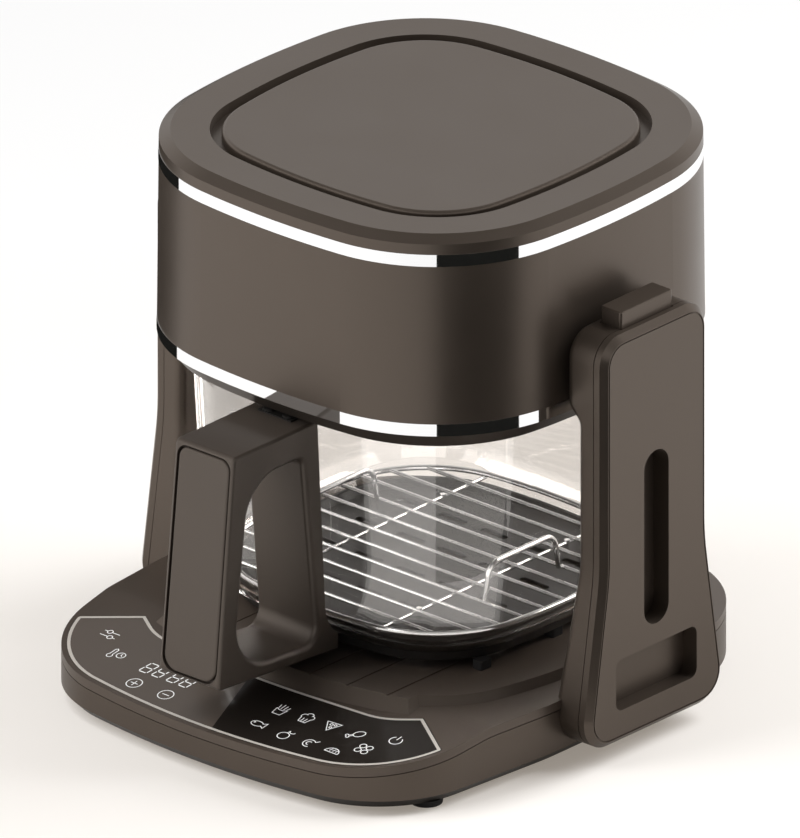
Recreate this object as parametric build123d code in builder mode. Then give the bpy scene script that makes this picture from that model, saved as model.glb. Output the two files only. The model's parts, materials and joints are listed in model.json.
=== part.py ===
from build123d import *
import os
from math import cos, radians, sin, tan

os.makedirs("parts", exist_ok=True)

# Counter-top hot-air cooker: a heating head on two arms over a glass bowl that slides out of a flat base.
# Millimetres, +Z up, +Y to the back. Heights are from the counter. Plan positions are from the upright
# axis of the head and the bowl, which stands axis_y behind the middle of the whole cooker's plan.

# Base: outline corners on the right side from front to back, with their radii
base_back = 130.5
base_nose = (0.0, -199.0)
base_nose_radius = 520.0
base_corners = [(132.5, -180.0), (143.0, -60.0), (143.0, 40.0), (138.0, base_back)]
base_radii = [66.0, 200.0, 200.0, 80.0]
foot_height = 3.7
foot_radius = 9.5
foot_taper = 9.0
foot_plug = 4.0
foot_plug_depth = 3.0
foot_spots = [(120.5, -138.5), (100.0, 94.0)]
base_chamfer = 5.5
base_wall = 3.0
tray_floor = 4.0
deck_height = 38.4
deck_front_height = 26.4
deck_front = 193.5
deck_crease = 107.8
deck_slope = (deck_height - deck_front_height) / (deck_front - deck_crease)
deck_reach = 230.0
crease_radius = 60.0
deck_thickness = 4.0
cover_skirt = 5.7
seam_height = 0.5
seam_inset = 0.7
lip_overlap = 0.5
plinth_height = 43.0
plinth_half = 123.5
plinth_bow = 20.0
plinth_corner = 56.0
plinth_drop = 8.4
plinth_spread = 6.6
tongue_half = 87.0
tongue_front = 127.6
tongue_side_front = 115.9
guide_pitch = 25.0
guide_width = 0.8
guide_depth = 0.6
guide_length = 90.0
panel_margin = 2.8
panel_back = [(131.5, -138.6), (101.0, -119.0), (82.0, -131.0)]
panel_middle = (0.0, -135.2)
panel_ahead = (160.0, -220.0)
panel_bend = 40.0
panel_bow = 600.0
panel_thickness = 2.0
panel_gap = 0.15
boss_radius = 5.0
boss_spots = [(100.0, -70.0), (100.0, 70.0)]
boss_split = 24.0
boss_grip = 10.0
floor_slot = (60.0, 4.0)
floor_slot_pitch = 14.0
floor_slot_count = 7
board_thickness = 1.6
board_drop = 10.0
board_size = (170.0, 30.0)
board_centre = (0.0, -161.0)
board_post_inset = 6.0
board_post_spread = 9.0
board_boss_radius = 3.0
board_part_height = 2.9
display_block = (46.0, 16.0)
display_x = -45.0
driver_block = (14.0, 10.0)
driver_spots = [(20.0, -159.0), (50.0, -165.0)]
power_board_size = (120.0, 76.0)
power_board_height = 16.0
power_post_radius = 4.0
transformer_size = (32.0, 26.0)
transformer_spot = (-30.0, 12.0)
relay_size = (20.0, 16.0)
relay_spot = (14.0, 16.0)
relay_height = 15.0
capacitor_radius = 6.0
capacitor_height = 12.0
capacitor_spots = [(10.0, -18.0), (26.0, -18.0), (42.0, -18.0)]
gland_spot = (-45.0, 20.0)
gland_radius = 6.5
gland_bore = 3.6
gland_flange = 9.0
gland_flange_thickness = 3.0
press_gap = 0.05
cut_margin = 1.0

# Arms: Y-Z outline and X-Z section of the right one
arm_top = 252.0
arm_bottom = 10.7
arm_half = 42.5
arm_foot_half = 58.0
arm_flare = 113.0
arm_top_radius = 16.0
arm_flare_radius = 150.0
arm_foot_radius = 18.0
arm_wall = 2.5
arm_shoulder = 136.0
arm_shoulder_wall = 6.0
arm_shoulder_bottom = 207.5
arm_waist = 144.0
arm_waist_top = 200.0
arm_ankle = 138.0
arm_split = 156.0
arm_face = 164.0
arm_bevel = 3.5
arm_face_thickness = 3.0
arm_round = 5.0
shoulder_radius = 8.0
waist_radius = 6.0
ankle_radius = 60.0
arm_seam = 0.5
face_line_inset = 3.9
face_line_width = 0.8
face_line_depth = 0.6
base_side = 143.15
slot_half = 10.0
slot_span = (72.4, 175.6)
slot_depth = 11.0
pocket_half = 32.8
pocket_span = (30.0, 60.5)
pocket_depth = 10.0
pocket_radius = 5.0
well_wall = 2.2
channel_half = 15.0
channel_depth = 4.2
channel_bottom = 208.4
button_span = (142.0, 157.0)
button_half = 21.0
button_top = 262.0
button_bottom = 249.2
button_gap = 0.4
button_corner = 1.5
button_round = 0.8
flange_height = 2.0
flange_reach = 4.0
flange_trim = 3.4
flange_shift = 1.0
spring_shelf = 230.0
shelf_thickness = 2.0
spring_half = 16.0
spring_sheet = 0.8
spring_width = 8.0
spring_gap = 0.05
arm_screw_height = 24.0
arm_screw_spread = 30.0

# Head
head_half = 133.8
head_bow = 14.8
head_corner = 90.0
head_draft = 0.4
head_bottom = 201.4
band_height = 7.1
band_depth = 1.2
band_proud = 0.15
band_gap = 0.05
housing_top = 309.0
housing_wall = 3.0
rail_half = 14.5
rail_reach = 139.6
rail_root = 131.5
rail_span = (209.0, 246.0)
vent_length = 84.0
vent_width = 3.6
vent_pitch = 8.0
vent_rows = 6
vent_centre = 262.0
vent_reach = 20.0
cap_wall = 6.1
cap_slope_height = 3.8
cap_slope_width = 6.0
cap_shoulder = housing_top + cap_wall
head_top = cap_shoulder + cap_slope_height
cap_plate = 2.2
groove_half = 104.6
groove_bow = 10.6
groove_corner = 58.0
groove_depth = 6.0
lid_gap = 6.0
lid_proud = 0.2
lid_round = 2.2
skirt_half = 131.3
skirt_corner = 87.0
skirt_height = 9.9
skirt_draw = 6.2
skirt_bottom = head_bottom - skirt_height
skirt_opening = 112.0
shield_half = 111.6
shield_bottom = 193.5
shield_top = 236.0
shield_sheet = 1.2
shield_flange = 125.0
shield_corner = 68.0
flange_corner = 78.0
mouth_corner = 70.0
element_radius = 3.2
element_height = 208.0
element_turns = (88.0, 70.0)
element_opening = 12.0
element_rise = 40.0
element_gap = 0.4
collar_radius = 6.0
collar_height = 5.0
guard_height = 195.0
guard_sheet = 1.2
guard_half = 105.0
guard_post = 78.0
guard_post_radius = 2.5
guard_corner = 64.0
guard_slot = (19.0, 7.0)
guard_rings = [(38.0, 10), (62.0, 16), (86.0, 22)]
fan_radius = 62.0
fan_height = 216.0
fan_disc = 1.2
blade_height = 12.0
blade_sheet = 1.0
blade_count = 12
blade_length = 43.4
blade_middle = 38.4
blade_sweep = 28.0
hub_radius = 8.0
hub_rise = 2.0
shaft_radius = 3.0
shaft_span = (213.0, 297.0)
shaft_clearance = 0.05
motor_radius = 30.0
motor_span = (252.0, 282.0)
motor_bevel = 4.0
motor_boss = (11.0, 2.5)
bracket_sheet = 1.5
bracket_width = 48.0
bracket_foot = 58.0
bracket_bends = (42.0, 36.0)
bracket_bend_radius = 2.5
cooler_radius = 44.0
cooler_height = 286.0
cooler_blades = 7
cooler_pitch = 32.0
cooler_hub = (10.0, 8.0)
cooler_blade_width = 13.0
cooler_blade_corner = 4.0
cooler_blade_half = 0.6
screw_head = 3.4
screw_shank = 1.5
screw_pan = 2.2
screw_clearance = 0.4
base_screw_length = 24.0
arm_screw_length = 8.5
head_screw_length = 12.0
head_screw_recess = 3.0
handle_screw_pan = 1.3
handle_screw_length = 10.0
skirt_screw_radius = 119.0

# Bowl
rim_height = 190.4
bowl_half = 117.0
bowl_bow = 13.0
bowl_corner = 80.0
bowl_draft = 3.0
bowl_bottom = 52.0
bowl_round = 26.0
glass = 4.0
ring_bottom = 48.5
ring_half = 93.0
ring_corner = 58.0
ring_bow = 9.0
ring_height = 8.5
ring_flare = 3.4
ring_width = 13.0
pad_size = (7.0, 9.0)
pad_corner = 1.5
pad_x = 89.0
pad_pitch = 58.0
pad_lift = 0.1
tray_half = 89.5
tray_bow = 9.0
tray_corner = 58.0
tray_height = 57.5
tray_rim = 62.5
tray_sheet = 1.5
tray_wall = 2.1
tray_foot = 1.45
tray_foot_radius = 5.0
tray_foot_pitch = 110.0
tray_slot = (20.0, 5.0)
tray_slot_pitch = (30.0, 34.0)
tray_slot_counts = (5, 4)

# Handle: Y-Z side view, leaning out towards its foot
handle_reach = 197.11
grip_top = (-184.0, 189.0)
grip_foot = (-197.5, 54.5)
handle_bottom = 47.7
handle_radii = [3.0, 4.0, 0.0, 0.0]
handle_round = 2.0
loop_round = 3.2
handle_top_half = 21.4
handle_foot_half = 21.9
handle_back = -100.0
loop_corners = [(-128.0, 170.5), (-116.5, 57.0), (-184.0, 62.0), (-170.5, 170.5)]
loop_radii = [7.0, 9.0, 27.0, 26.0]
cover_depth = 3.5
cover_rim = 2.1
cover_gap = 1.0
cover_radii = [9.0, 9.0, 6.5, 6.5]
cover_round = 1.5
clip_half = 12.0
clip_sheet = 0.8
clip_drop = 16.0
rim_inside = 111.2
clip_reach = 127.5
clip_screw_x = 7.0
clip_screw_y = -123.6
clip_gap = 0.05
clip_bends = (0.8, 1.6)

# Rack
rack_height = 66.0
rack_half = 98.0
rack_bow = 11.0
rack_corner = 64.0
rim_wire = 1.6
cross_wire = 1.1
wire_sides = 12
cross_pitch = 16.0
cross_rows = 11
runner_bite = 0.4
runner_x = 45.0
lift_x = 66.0
lift_height = 87.0
lift_half = 30.0
lift_bend = 9.0
lift_lean = 4.0
leg_pitch = 120.0
rack_leg_foot = 59.25

# Place of the head's and bowl's axis, so that the front of the handle and the back of the head are as far
# from the origin
axis_y = (handle_reach - head_half - band_proud) / 2


def level(height):
    """Horizontal plane at a height above the counter, centred on the bowl's axis."""
    return Plane(origin=(0, axis_y, height))


def side(x):
    """Upright plane facing +X: its own x runs to the back and its own y runs up."""
    return Plane(origin=(x, axis_y, 0), x_dir=(0, 1, 0), z_dir=(1, 0, 0))


def across(y):
    """Upright plane facing the front: its own x runs to the right and its own y runs up."""
    return Plane(origin=(0, axis_y + y, 0), x_dir=(1, 0, 0), z_dir=(0, -1, 0))


def both_sides(spots):
    """Each plan position with its mirror image across the middle."""
    return [(sign * x, y) for x, y in spots for sign in (1, -1)]


def bowed_square(half, bow, corner):
    """Square with bulging sides and round corners, centred on the axis."""
    tip = half - bow
    tips = [(-tip, -tip), (tip, -tip), (tip, tip), (-tip, tip)]
    middles = [(0, -half), (half, 0), (0, half), (-half, 0)]
    with BuildSketch() as outline:
        with BuildLine():
            for index, middle in enumerate(middles):
                ThreePointArc(tips[index], middle, tips[(index + 1) % 4])
        make_face()
        fillet(outline.vertices(), corner)
    return outline.sketch


def head_plan(height, inset=0.0):
    """Outline of the head's drafted side wall at a height, drawn in by inset."""
    half = head_half - (height - head_bottom) * tan(radians(head_draft)) - inset
    return bowed_square(half, head_bow, head_corner - inset)


def between(lower, bottom, upper, top):
    """Straight-sided solid between two outlines at two heights."""
    with BuildPart() as block:
        with BuildSketch(level(bottom)):
            add(lower)
        with BuildSketch(level(top)):
            add(upper)
        loft(ruled=True)
    return block.part


def head_wall(bottom, top, inset=0.0):
    """Solid inside the head's drafted side wall between two heights."""
    return between(head_plan(bottom, inset), bottom, head_plan(top, inset), top)


def base_plan(inset=0.0):
    """Outline of the base, drawn in by inset."""
    left = [(-x, y) for x, y in reversed(base_corners)]
    radii = [base_nose_radius, *base_radii, *reversed(base_radii)]
    with BuildSketch() as plan:
        with BuildLine():
            FilletPolyline(base_nose, *base_corners, *left, radius=radii, close=True)
        make_face()
        if inset:
            offset(plan.sketch, amount=-inset)
    return plan.sketch


def deck_layer(top_drop, bottom_drop):
    """Slab between two depths below the deck, which slopes at the front and is level behind."""
    front_height = deck_height - deck_slope * (deck_reach - deck_crease)
    upper = [
        (-deck_reach, front_height - top_drop),
        (-deck_crease, deck_height - top_drop),
        (deck_reach, deck_height - top_drop),
    ]
    lower = [(y, z + top_drop - bottom_drop) for y, z in reversed(upper)]
    radii = [0, crease_radius, 0, 0, crease_radius, 0]
    with BuildPart() as layer:
        with BuildSketch(side(-deck_reach)):
            with BuildLine():
                FilletPolyline(*upper, *lower, radius=radii, close=True)
            make_face()
        extrude(amount=2 * deck_reach)
    return layer.part


def deck_slice(plan, top_drop, bottom_drop):
    """The piece of such a slab that lies inside a plan outline."""
    layer = deck_layer(top_drop, bottom_drop)
    with BuildPart() as piece:
        with BuildSketch(level(-deck_reach)):
            add(plan)
        extrude(amount=2 * deck_reach)
        add(layer, mode=Mode.INTERSECT)
    return piece.part


def plinth_plan(grow=0.0):
    """Outline of the plinth under the bowl, grown outwards."""
    return bowed_square(plinth_half + grow, plinth_bow, plinth_corner + grow)


def tongue_plan(grow=0.0):
    """Outline of the plinth's tongue, where the bowl slides in at the front, grown outwards."""
    half = tongue_half + grow
    front_corner = -tongue_side_front - grow
    with BuildSketch() as plan:
        with BuildLine():
            ThreePointArc((half, front_corner), (0, -tongue_front - grow), (-half, front_corner))
            Polyline((-half, front_corner), (-half, 0), (half, 0), (half, front_corner))
        make_face()
    return plan.sketch


def panel_plan(margin=0.0):
    """Outline of the touch panel: the front of the deck, with slanted ends and a bowed back edge."""
    left = [(-x, y) for x, y in panel_back]
    ahead = [panel_ahead, (-panel_ahead[0], panel_ahead[1])]
    radii = [0, 0, panel_bend, panel_bow, panel_bend, 0, 0, 0, 0]
    inside = base_plan(panel_margin)
    with BuildSketch() as plan:
        with BuildLine():
            FilletPolyline(*left, panel_middle, *reversed(panel_back), *ahead, radius=radii, close=True)
        make_face()
        add(inside, mode=Mode.INTERSECT)
        if margin:
            offset(plan.sketch, amount=margin)
    return plan.sketch


def spots_plan(spots, radius):
    """Discs at plan positions."""
    with BuildSketch() as plan:
        with Locations(*spots):
            Circle(radius)
    return plan.sketch


def arm_outline(inset=0.0):
    """Side view of an arm: straight above, flared to the foot."""
    right = [(arm_half, arm_top), (arm_half, arm_flare), (arm_foot_half, arm_bottom)]
    left = [(-y, z) for y, z in reversed(right)]
    radii = [arm_top_radius, arm_flare_radius, arm_foot_radius]
    with BuildSketch() as plan:
        with BuildLine():
            FilletPolyline(*right, *left, radius=[*radii, *reversed(radii)], close=True)
        make_face()
        if inset:
            offset(plan.sketch, amount=-inset)
    return plan.sketch


def arm_block(inset=0.0, shoulder_inset=0.0):
    """Right arm's inner half as a solid: a shoulder beside the head, a waist, and a foot on the deck."""
    over = arm_top + arm_wall
    seat = deck_height + press_gap + inset
    section = [
        (arm_shoulder + shoulder_inset, over),
        (arm_shoulder + shoulder_inset, arm_shoulder_bottom),
        (arm_waist + inset, arm_waist_top),
        (arm_waist + inset, arm_flare),
        (arm_ankle + inset, seat),
        (base_side + inset, seat),
        (base_side + inset, 0),
        (arm_split, 0),
        (arm_split, over),
    ]
    radii = [0, shoulder_radius, waist_radius, ankle_radius, 0, 0, 0, 0, 0]
    outline = arm_outline(inset)
    with BuildPart() as block:
        with BuildSketch(side(arm_shoulder)):
            add(outline)
        extrude(amount=arm_split - arm_shoulder)
        with BuildSketch(across(arm_foot_half)):
            with BuildLine():
                FilletPolyline(*section, radius=radii, close=True)
            make_face()
        extrude(amount=2 * arm_foot_half, mode=Mode.INTERSECT)
        if not inset:
            inner_faces = block.faces().filter_by(lambda face: face.normal_at().X < -0.5)
            inner_faces = inner_faces.filter_by(lambda face: face.center().Z > seat)
            fillet(inner_faces.edges().filter_by(Axis.Y, reverse=True), arm_round)
    return block.part


def bowl_solid(inset=0.0, floor=0.0):
    """Drafted block with a rounded foot: the bowl's outside, or its inside when drawn in."""
    depth = rim_height - bowl_bottom - floor
    mouth = bowed_square(bowl_half - inset, bowl_bow, bowl_corner - inset)
    with BuildPart() as block:
        with BuildSketch(level(rim_height)):
            add(mouth)
        extrude(amount=-depth, taper=bowl_draft)
        fillet(block.edges().group_by(Axis.Z)[0], bowl_round - inset)
    return block.part


def pan_head_screws(spots, head_plane, head_height, shank_length):
    """Screws with round heads on one plane, shanks along the plane's normal."""
    with BuildPart() as screws:
        with BuildSketch(head_plane):
            with Locations(*spots):
                Circle(screw_head)
        extrude(amount=head_height)
        with BuildSketch(head_plane):
            with Locations(*spots):
                Circle(screw_shank)
        extrude(amount=shank_length)
    return screws.part


def write(piece, name):
    """Label a finished piece and write it to its own file."""
    piece.part.label = name
    export_step(piece.part, f"parts/{name}.step")


# Base tray: drawn-in bottom edge, floor with feet sockets, screw bosses and board posts
arm_screw_spots = [(-arm_screw_spread, arm_screw_height), (arm_screw_spread, arm_screw_height)]
base_edge = base_plan()
base_inside = base_plan(base_wall)
below_seam = deck_layer(cover_skirt, deck_reach)
with BuildPart() as base_tray:
    with BuildSketch(level(foot_height)):
        add(base_edge)
    extrude(amount=deck_height)
    add(below_seam, mode=Mode.INTERSECT)
    chamfer(base_tray.edges().group_by(Axis.Z)[0], base_chamfer)
    with BuildSketch(level(foot_height + tray_floor)):
        add(base_inside)
    extrude(amount=deck_height, mode=Mode.SUBTRACT)
    with BuildSketch(level(foot_height)):
        with Locations(*both_sides(boss_spots)):
            Circle(boss_radius)
    extrude(amount=boss_split - foot_height)
    with BuildSketch(level(foot_height)):
        with GridLocations(*[length - 2 * board_post_inset for length in power_board_size], 2, 2):
            Circle(power_post_radius)
    extrude(amount=power_board_height - foot_height)
    with BuildSketch(level(foot_height)):
        with Locations(*both_sides(foot_spots)):
            Circle(foot_plug)
    extrude(amount=foot_plug_depth, mode=Mode.SUBTRACT)
    with BuildSketch(level(foot_height)):
        with Locations(*both_sides(boss_spots)):
            Circle(screw_head + screw_clearance)
    extrude(amount=tray_floor, mode=Mode.SUBTRACT)
    with BuildSketch(level(foot_height)):
        with Locations(*both_sides(boss_spots)):
            Circle(screw_shank)
    extrude(amount=deck_height, mode=Mode.SUBTRACT)
    with BuildSketch(level(foot_height)):
        with GridLocations(floor_slot_pitch, 0, floor_slot_count, 1):
            SlotOverall(*floor_slot, rotation=90)
    extrude(amount=tray_floor, mode=Mode.SUBTRACT)
    with BuildSketch(across(base_back + cut_margin)):
        with Locations(gland_spot):
            Circle(gland_radius)
    extrude(amount=base_wall + 2 * cut_margin, mode=Mode.SUBTRACT)
    for sign in (1, -1):
        with BuildSketch(side(sign * (base_side - base_wall - 2 * cut_margin))):
            with Locations(*arm_screw_spots):
                Circle(screw_shank)
        extrude(amount=sign * (base_wall + 4 * cut_margin), mode=Mode.SUBTRACT)
write(base_tray, "base_tray")

# Base cover: skirt above the seam, sloping deck with the panel's recess, plinth with guide grooves
cover_outside = deck_slice(base_edge, 0, cover_skirt - seam_height)
cover_lip = deck_slice(base_plan(seam_inset), cover_skirt - seam_height - lip_overlap, cover_skirt)
cover_hollow = deck_slice(base_inside, deck_thickness, deck_reach)
panel_recess = deck_slice(panel_plan(panel_gap), -deck_thickness, panel_thickness)
board_post_x = board_size[0] / 2 - board_post_inset
board_posts = [(board_post_x, board_centre[1] + sign * board_post_spread) for sign in (1, -1)]
board_boss_plan = spots_plan(both_sides(board_posts), board_boss_radius)
board_bosses = deck_slice(board_boss_plan, deck_thickness - cut_margin, board_drop)
plinth_foot = plinth_height - plinth_drop
plinth = between(plinth_plan(plinth_spread), plinth_foot, plinth_plan(), plinth_height)
tongue = between(tongue_plan(plinth_spread), plinth_foot, tongue_plan(), plinth_height)
plinth_inside = plinth_plan(-deck_thickness)
with BuildPart() as base_cover:
    add(cover_outside)
    add(cover_lip)
    add(plinth)
    add(tongue)
    add(cover_hollow, mode=Mode.SUBTRACT)
    with BuildSketch(level(plinth_height - deck_thickness)):
        add(plinth_inside)
    extrude(amount=-plinth_height / 2, mode=Mode.SUBTRACT)
    add(board_bosses)
    with BuildSketch(level(boss_split)):
        with Locations(*both_sides(boss_spots)):
            Circle(boss_radius)
    extrude(amount=plinth_height - deck_thickness + cut_margin - boss_split)
    with BuildSketch(level(boss_split)):
        with Locations(*both_sides(boss_spots)):
            Circle(screw_shank)
    extrude(amount=boss_grip, mode=Mode.SUBTRACT)
    add(panel_recess, mode=Mode.SUBTRACT)
    with BuildSketch(level(plinth_height)):
        with Locations(*[(guide_pitch * step, -guide_length) for step in (-3, -2, -1, 1, 2, 3)]):
            Rectangle(guide_width, guide_length)
    extrude(amount=-guide_depth, mode=Mode.SUBTRACT)
write(base_cover, "base_cover")

# Touch panel: flush glass on the sloping deck
panel_plate = deck_slice(panel_plan(), 0, panel_thickness)
with BuildPart() as touch_panel:
    add(panel_plate)
write(touch_panel, "touch_panel")

# Control board under the panel, on the cover's posts, with its display block and driver
with BuildSketch() as board_outline:
    with Locations(board_centre):
        RectangleRounded(*board_size, board_boss_radius)
with BuildSketch() as board_chips:
    with Locations((display_x, board_centre[1])):
        Rectangle(*display_block)
    with Locations(*driver_spots):
        Rectangle(*driver_block)
board_under = board_drop + board_thickness
board_plate = deck_slice(board_outline.sketch, board_drop, board_under)
board_blocks = deck_slice(board_chips.sketch, board_drop, board_under + board_part_height)
with BuildPart() as control_board:
    add(board_plate)
    add(board_blocks)
write(control_board, "control_board")

# Power board on the tray's posts: relay, transformer and capacitors
with BuildPart() as power_board:
    with BuildSketch(level(power_board_height)):
        RectangleRounded(*power_board_size, power_post_radius)
    extrude(amount=board_thickness)
    with BuildSketch(level(power_board_height + board_thickness)):
        with Locations(transformer_spot):
            Rectangle(*transformer_size)
        with Locations(relay_spot):
            Rectangle(*relay_size)
    extrude(amount=relay_height)
    with BuildSketch(level(power_board_height + board_thickness)):
        with Locations(*capacitor_spots):
            Circle(capacitor_radius)
    extrude(amount=capacitor_height)
write(power_board, "power_board")

# Rubber feet with plugs in the tray
with BuildPart() as feet:
    with BuildSketch(level(0)):
        with Locations(*both_sides(foot_spots)):
            Circle(foot_radius - foot_height * tan(radians(foot_taper)))
    extrude(amount=foot_height, taper=-foot_taper)
    with BuildSketch(level(foot_height)):
        with Locations(*both_sides(foot_spots)):
            Circle(foot_plug - press_gap)
    extrude(amount=foot_plug_depth - 4 * press_gap)
write(feet, "feet")

# Screws up through the tray's bosses into the cover's
base_screw_seat = level(foot_height + tray_floor - screw_pan)
base_screw_set = pan_head_screws(both_sides(boss_spots), base_screw_seat, screw_pan, base_screw_length)
with BuildPart() as base_screws:
    add(base_screw_set)
write(base_screws, "base_screws")

# Gland for the mains lead in the tray's back wall, flush outside and flanged inside
with BuildPart() as cord_gland:
    with BuildSketch(across(base_back)):
        with Locations(gland_spot):
            Circle(gland_radius - press_gap)
    extrude(amount=base_wall)
    with BuildSketch(across(base_back - base_wall)):
        with Locations(gland_spot):
            Circle(gland_flange)
    extrude(amount=gland_flange_thickness)
    with BuildSketch(across(base_back)):
        with Locations(gland_spot):
            Circle(gland_bore)
    extrude(amount=base_wall + gland_flange_thickness, mode=Mode.SUBTRACT)
write(cord_gland, "cord_gland")

# Right arm's inner shell: hollow, with the head's guide channel, a spring shelf and the button's opening
arm_outside = arm_block()
arm_hollow = arm_block(arm_wall, arm_shoulder_wall)
button_middle = (button_span[0] + button_span[1]) / 2
button_width = button_span[1] - button_span[0]
shelf_root = arm_shoulder + arm_shoulder_wall - cut_margin
channel_top = arm_top + cut_margin
with BuildSketch() as button_hole:
    with Locations((button_middle, 0)):
        Rectangle(button_width + 2 * button_gap, 2 * (button_half + button_gap))
with BuildPart() as right_arm_shell:
    add(arm_outside)
    add(arm_hollow, mode=Mode.SUBTRACT)
    with BuildSketch(side(shelf_root)):
        with Locations((0, spring_shelf - shelf_thickness / 2)):
            Rectangle(2 * arm_half - 2 * arm_wall, shelf_thickness)
    extrude(amount=arm_split - shelf_root)
    with BuildSketch(side(arm_shoulder)):
        with Locations((0, (channel_bottom + channel_top) / 2)):
            Rectangle(2 * channel_half, channel_top - channel_bottom)
    extrude(amount=channel_depth, mode=Mode.SUBTRACT)
    with BuildSketch(level(arm_top - arm_wall - cut_margin)):
        add(button_hole.sketch)
    extrude(amount=arm_wall + 2 * cut_margin, mode=Mode.SUBTRACT)
    with BuildSketch(side(base_side - cut_margin)):
        with Locations(*arm_screw_spots):
            Circle(screw_shank)
    extrude(amount=arm_wall + 2 * cut_margin, mode=Mode.SUBTRACT)
write(right_arm_shell, "right_arm_shell")

# Right arm's outer cover: bevelled plate with walls, a fine line round its face, and wells behind the long
# slot and the pocket
slot_middle = sum(slot_span) / 2
slot_length = slot_span[1] - slot_span[0]
pocket_middle = sum(pocket_span) / 2
pocket_height = pocket_span[1] - pocket_span[0]
arm_edge = arm_outline()
arm_inside = arm_outline(arm_wall)
face_line = arm_outline(face_line_inset)
face_line_inside = arm_outline(face_line_inset + face_line_width)
with BuildPart() as right_arm_cover:
    with BuildSketch(side(arm_split)):
        add(arm_edge)
    extrude(amount=arm_face - arm_split)
    chamfer(right_arm_cover.faces().sort_by(Axis.X)[-1].edges(), arm_bevel)
    chamfer(right_arm_cover.faces().sort_by(Axis.X)[0].edges(), arm_seam)
    with BuildSketch(side(arm_face)):
        add(face_line)
        add(face_line_inside, mode=Mode.SUBTRACT)
    extrude(amount=-face_line_depth, mode=Mode.SUBTRACT)
    with BuildSketch(side(arm_split)):
        add(arm_inside)
    extrude(amount=arm_face - arm_split - arm_face_thickness, mode=Mode.SUBTRACT)
    with BuildSketch(side(arm_face - slot_depth - well_wall)):
        with Locations((0, slot_middle)):
            SlotOverall(slot_length + 2 * well_wall, 2 * (slot_half + well_wall), rotation=90)
    extrude(amount=slot_depth + well_wall - cut_margin)
    with BuildSketch(side(arm_face - pocket_depth - well_wall)):
        with Locations((0, pocket_middle)):
            RectangleRounded(
                2 * (pocket_half + well_wall), pocket_height + 2 * well_wall, pocket_radius + well_wall
            )
    extrude(amount=pocket_depth + well_wall - cut_margin)
    with BuildSketch(side(arm_face - slot_depth)):
        with Locations((0, slot_middle)):
            SlotOverall(slot_length, 2 * slot_half, rotation=90)
    extrude(amount=slot_depth, mode=Mode.SUBTRACT)
    with BuildSketch(side(arm_face - pocket_depth)):
        with Locations((0, pocket_middle)):
            RectangleRounded(2 * pocket_half, pocket_height, pocket_radius)
    extrude(amount=pocket_depth, mode=Mode.SUBTRACT)
    with BuildSketch(level(arm_top - arm_wall - cut_margin)):
        add(button_hole.sketch)
    extrude(amount=arm_wall + 2 * cut_margin, mode=Mode.SUBTRACT)
write(right_arm_cover, "right_arm_cover")

# Right release button: key with a flange inside the arm
with BuildPart() as right_button:
    with BuildSketch(level(button_bottom)):
        with Locations((button_middle, 0)):
            RectangleRounded(button_width, 2 * button_half, button_corner)
    extrude(amount=button_top - button_bottom)
    fillet(right_button.faces().sort_by(Axis.Z)[-1].edges(), button_round)
    with BuildSketch(level(button_bottom - flange_height)):
        with Locations((button_middle - flange_shift, 0)):
            Rectangle(button_width - flange_trim, 2 * (button_half + flange_reach))
    extrude(amount=flange_height)
write(right_button, "right_button")

# Leaf spring between the arm's shelf and the button's flange
with BuildPart() as right_button_spring:
    with BuildSketch(side(button_middle)):
        with BuildLine():
            ThreePointArc(
                (-spring_half, spring_shelf + spring_gap),
                (0, button_bottom - flange_height - spring_gap - spring_sheet / 2),
                (spring_half, spring_shelf + spring_gap),
            )
        trace(line_width=spring_sheet)
    extrude(amount=spring_width / 2, both=True)
write(right_button_spring, "right_button_spring")

# Left arm: mirror images of the right one's pieces
mirrored = {
    "left_arm_shell": right_arm_shell,
    "left_arm_cover": right_arm_cover,
    "left_button": right_button,
    "left_button_spring": right_button_spring,
}
for name, original in mirrored.items():
    with BuildPart() as mirror_image:
        mirror(original.part, about=Plane.YZ)
    write(mirror_image, name)

# Screws from inside the base into both arms
arm_screw_seat = side(base_side - base_wall - screw_pan - 3 * press_gap)
right_arm_screws = pan_head_screws(arm_screw_spots, arm_screw_seat, screw_pan, arm_screw_length)
with BuildPart() as arm_screws:
    add(right_arm_screws)
    mirror(right_arm_screws, about=Plane.YZ)
write(arm_screws, "arm_screws")

# Head housing: drafted wall with seats for the bright bands, guide rails at the sides, vents at the back
band_seats = head_wall(head_bottom, housing_top, band_depth)
housing_skin = head_wall(head_bottom + band_height, housing_top - band_height)
housing_hollow = head_wall(head_bottom, housing_top, band_depth + housing_wall)
with BuildPart() as head_housing:
    add(band_seats)
    add(housing_skin)
    for sign in (1, -1):
        with BuildSketch(side(sign * rail_root)):
            with Locations((0, sum(rail_span) / 2)):
                Rectangle(2 * rail_half, rail_span[1] - rail_span[0])
        extrude(amount=sign * (rail_reach - rail_root))
    add(housing_hollow, mode=Mode.SUBTRACT)
    with BuildSketch(across(head_half + cut_margin)):
        with Locations((0, vent_centre)):
            with GridLocations(0, vent_pitch, 1, vent_rows):
                SlotOverall(vent_length, vent_width)
    extrude(amount=vent_reach, mode=Mode.SUBTRACT)
write(head_housing, "head_housing")

# Bright bands round the head
band_heights = {"lower_band": head_bottom, "upper_band": housing_top - band_height}
for name, band_bottom in band_heights.items():
    band_outside = head_plan(band_bottom, -band_proud)
    band_inside = head_plan(band_bottom, band_depth - band_gap)
    with BuildPart() as bright_band:
        with BuildSketch(level(band_bottom)):
            add(band_outside)
            add(band_inside, mode=Mode.SUBTRACT)
        extrude(amount=band_height)
    write(bright_band, name)

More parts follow.
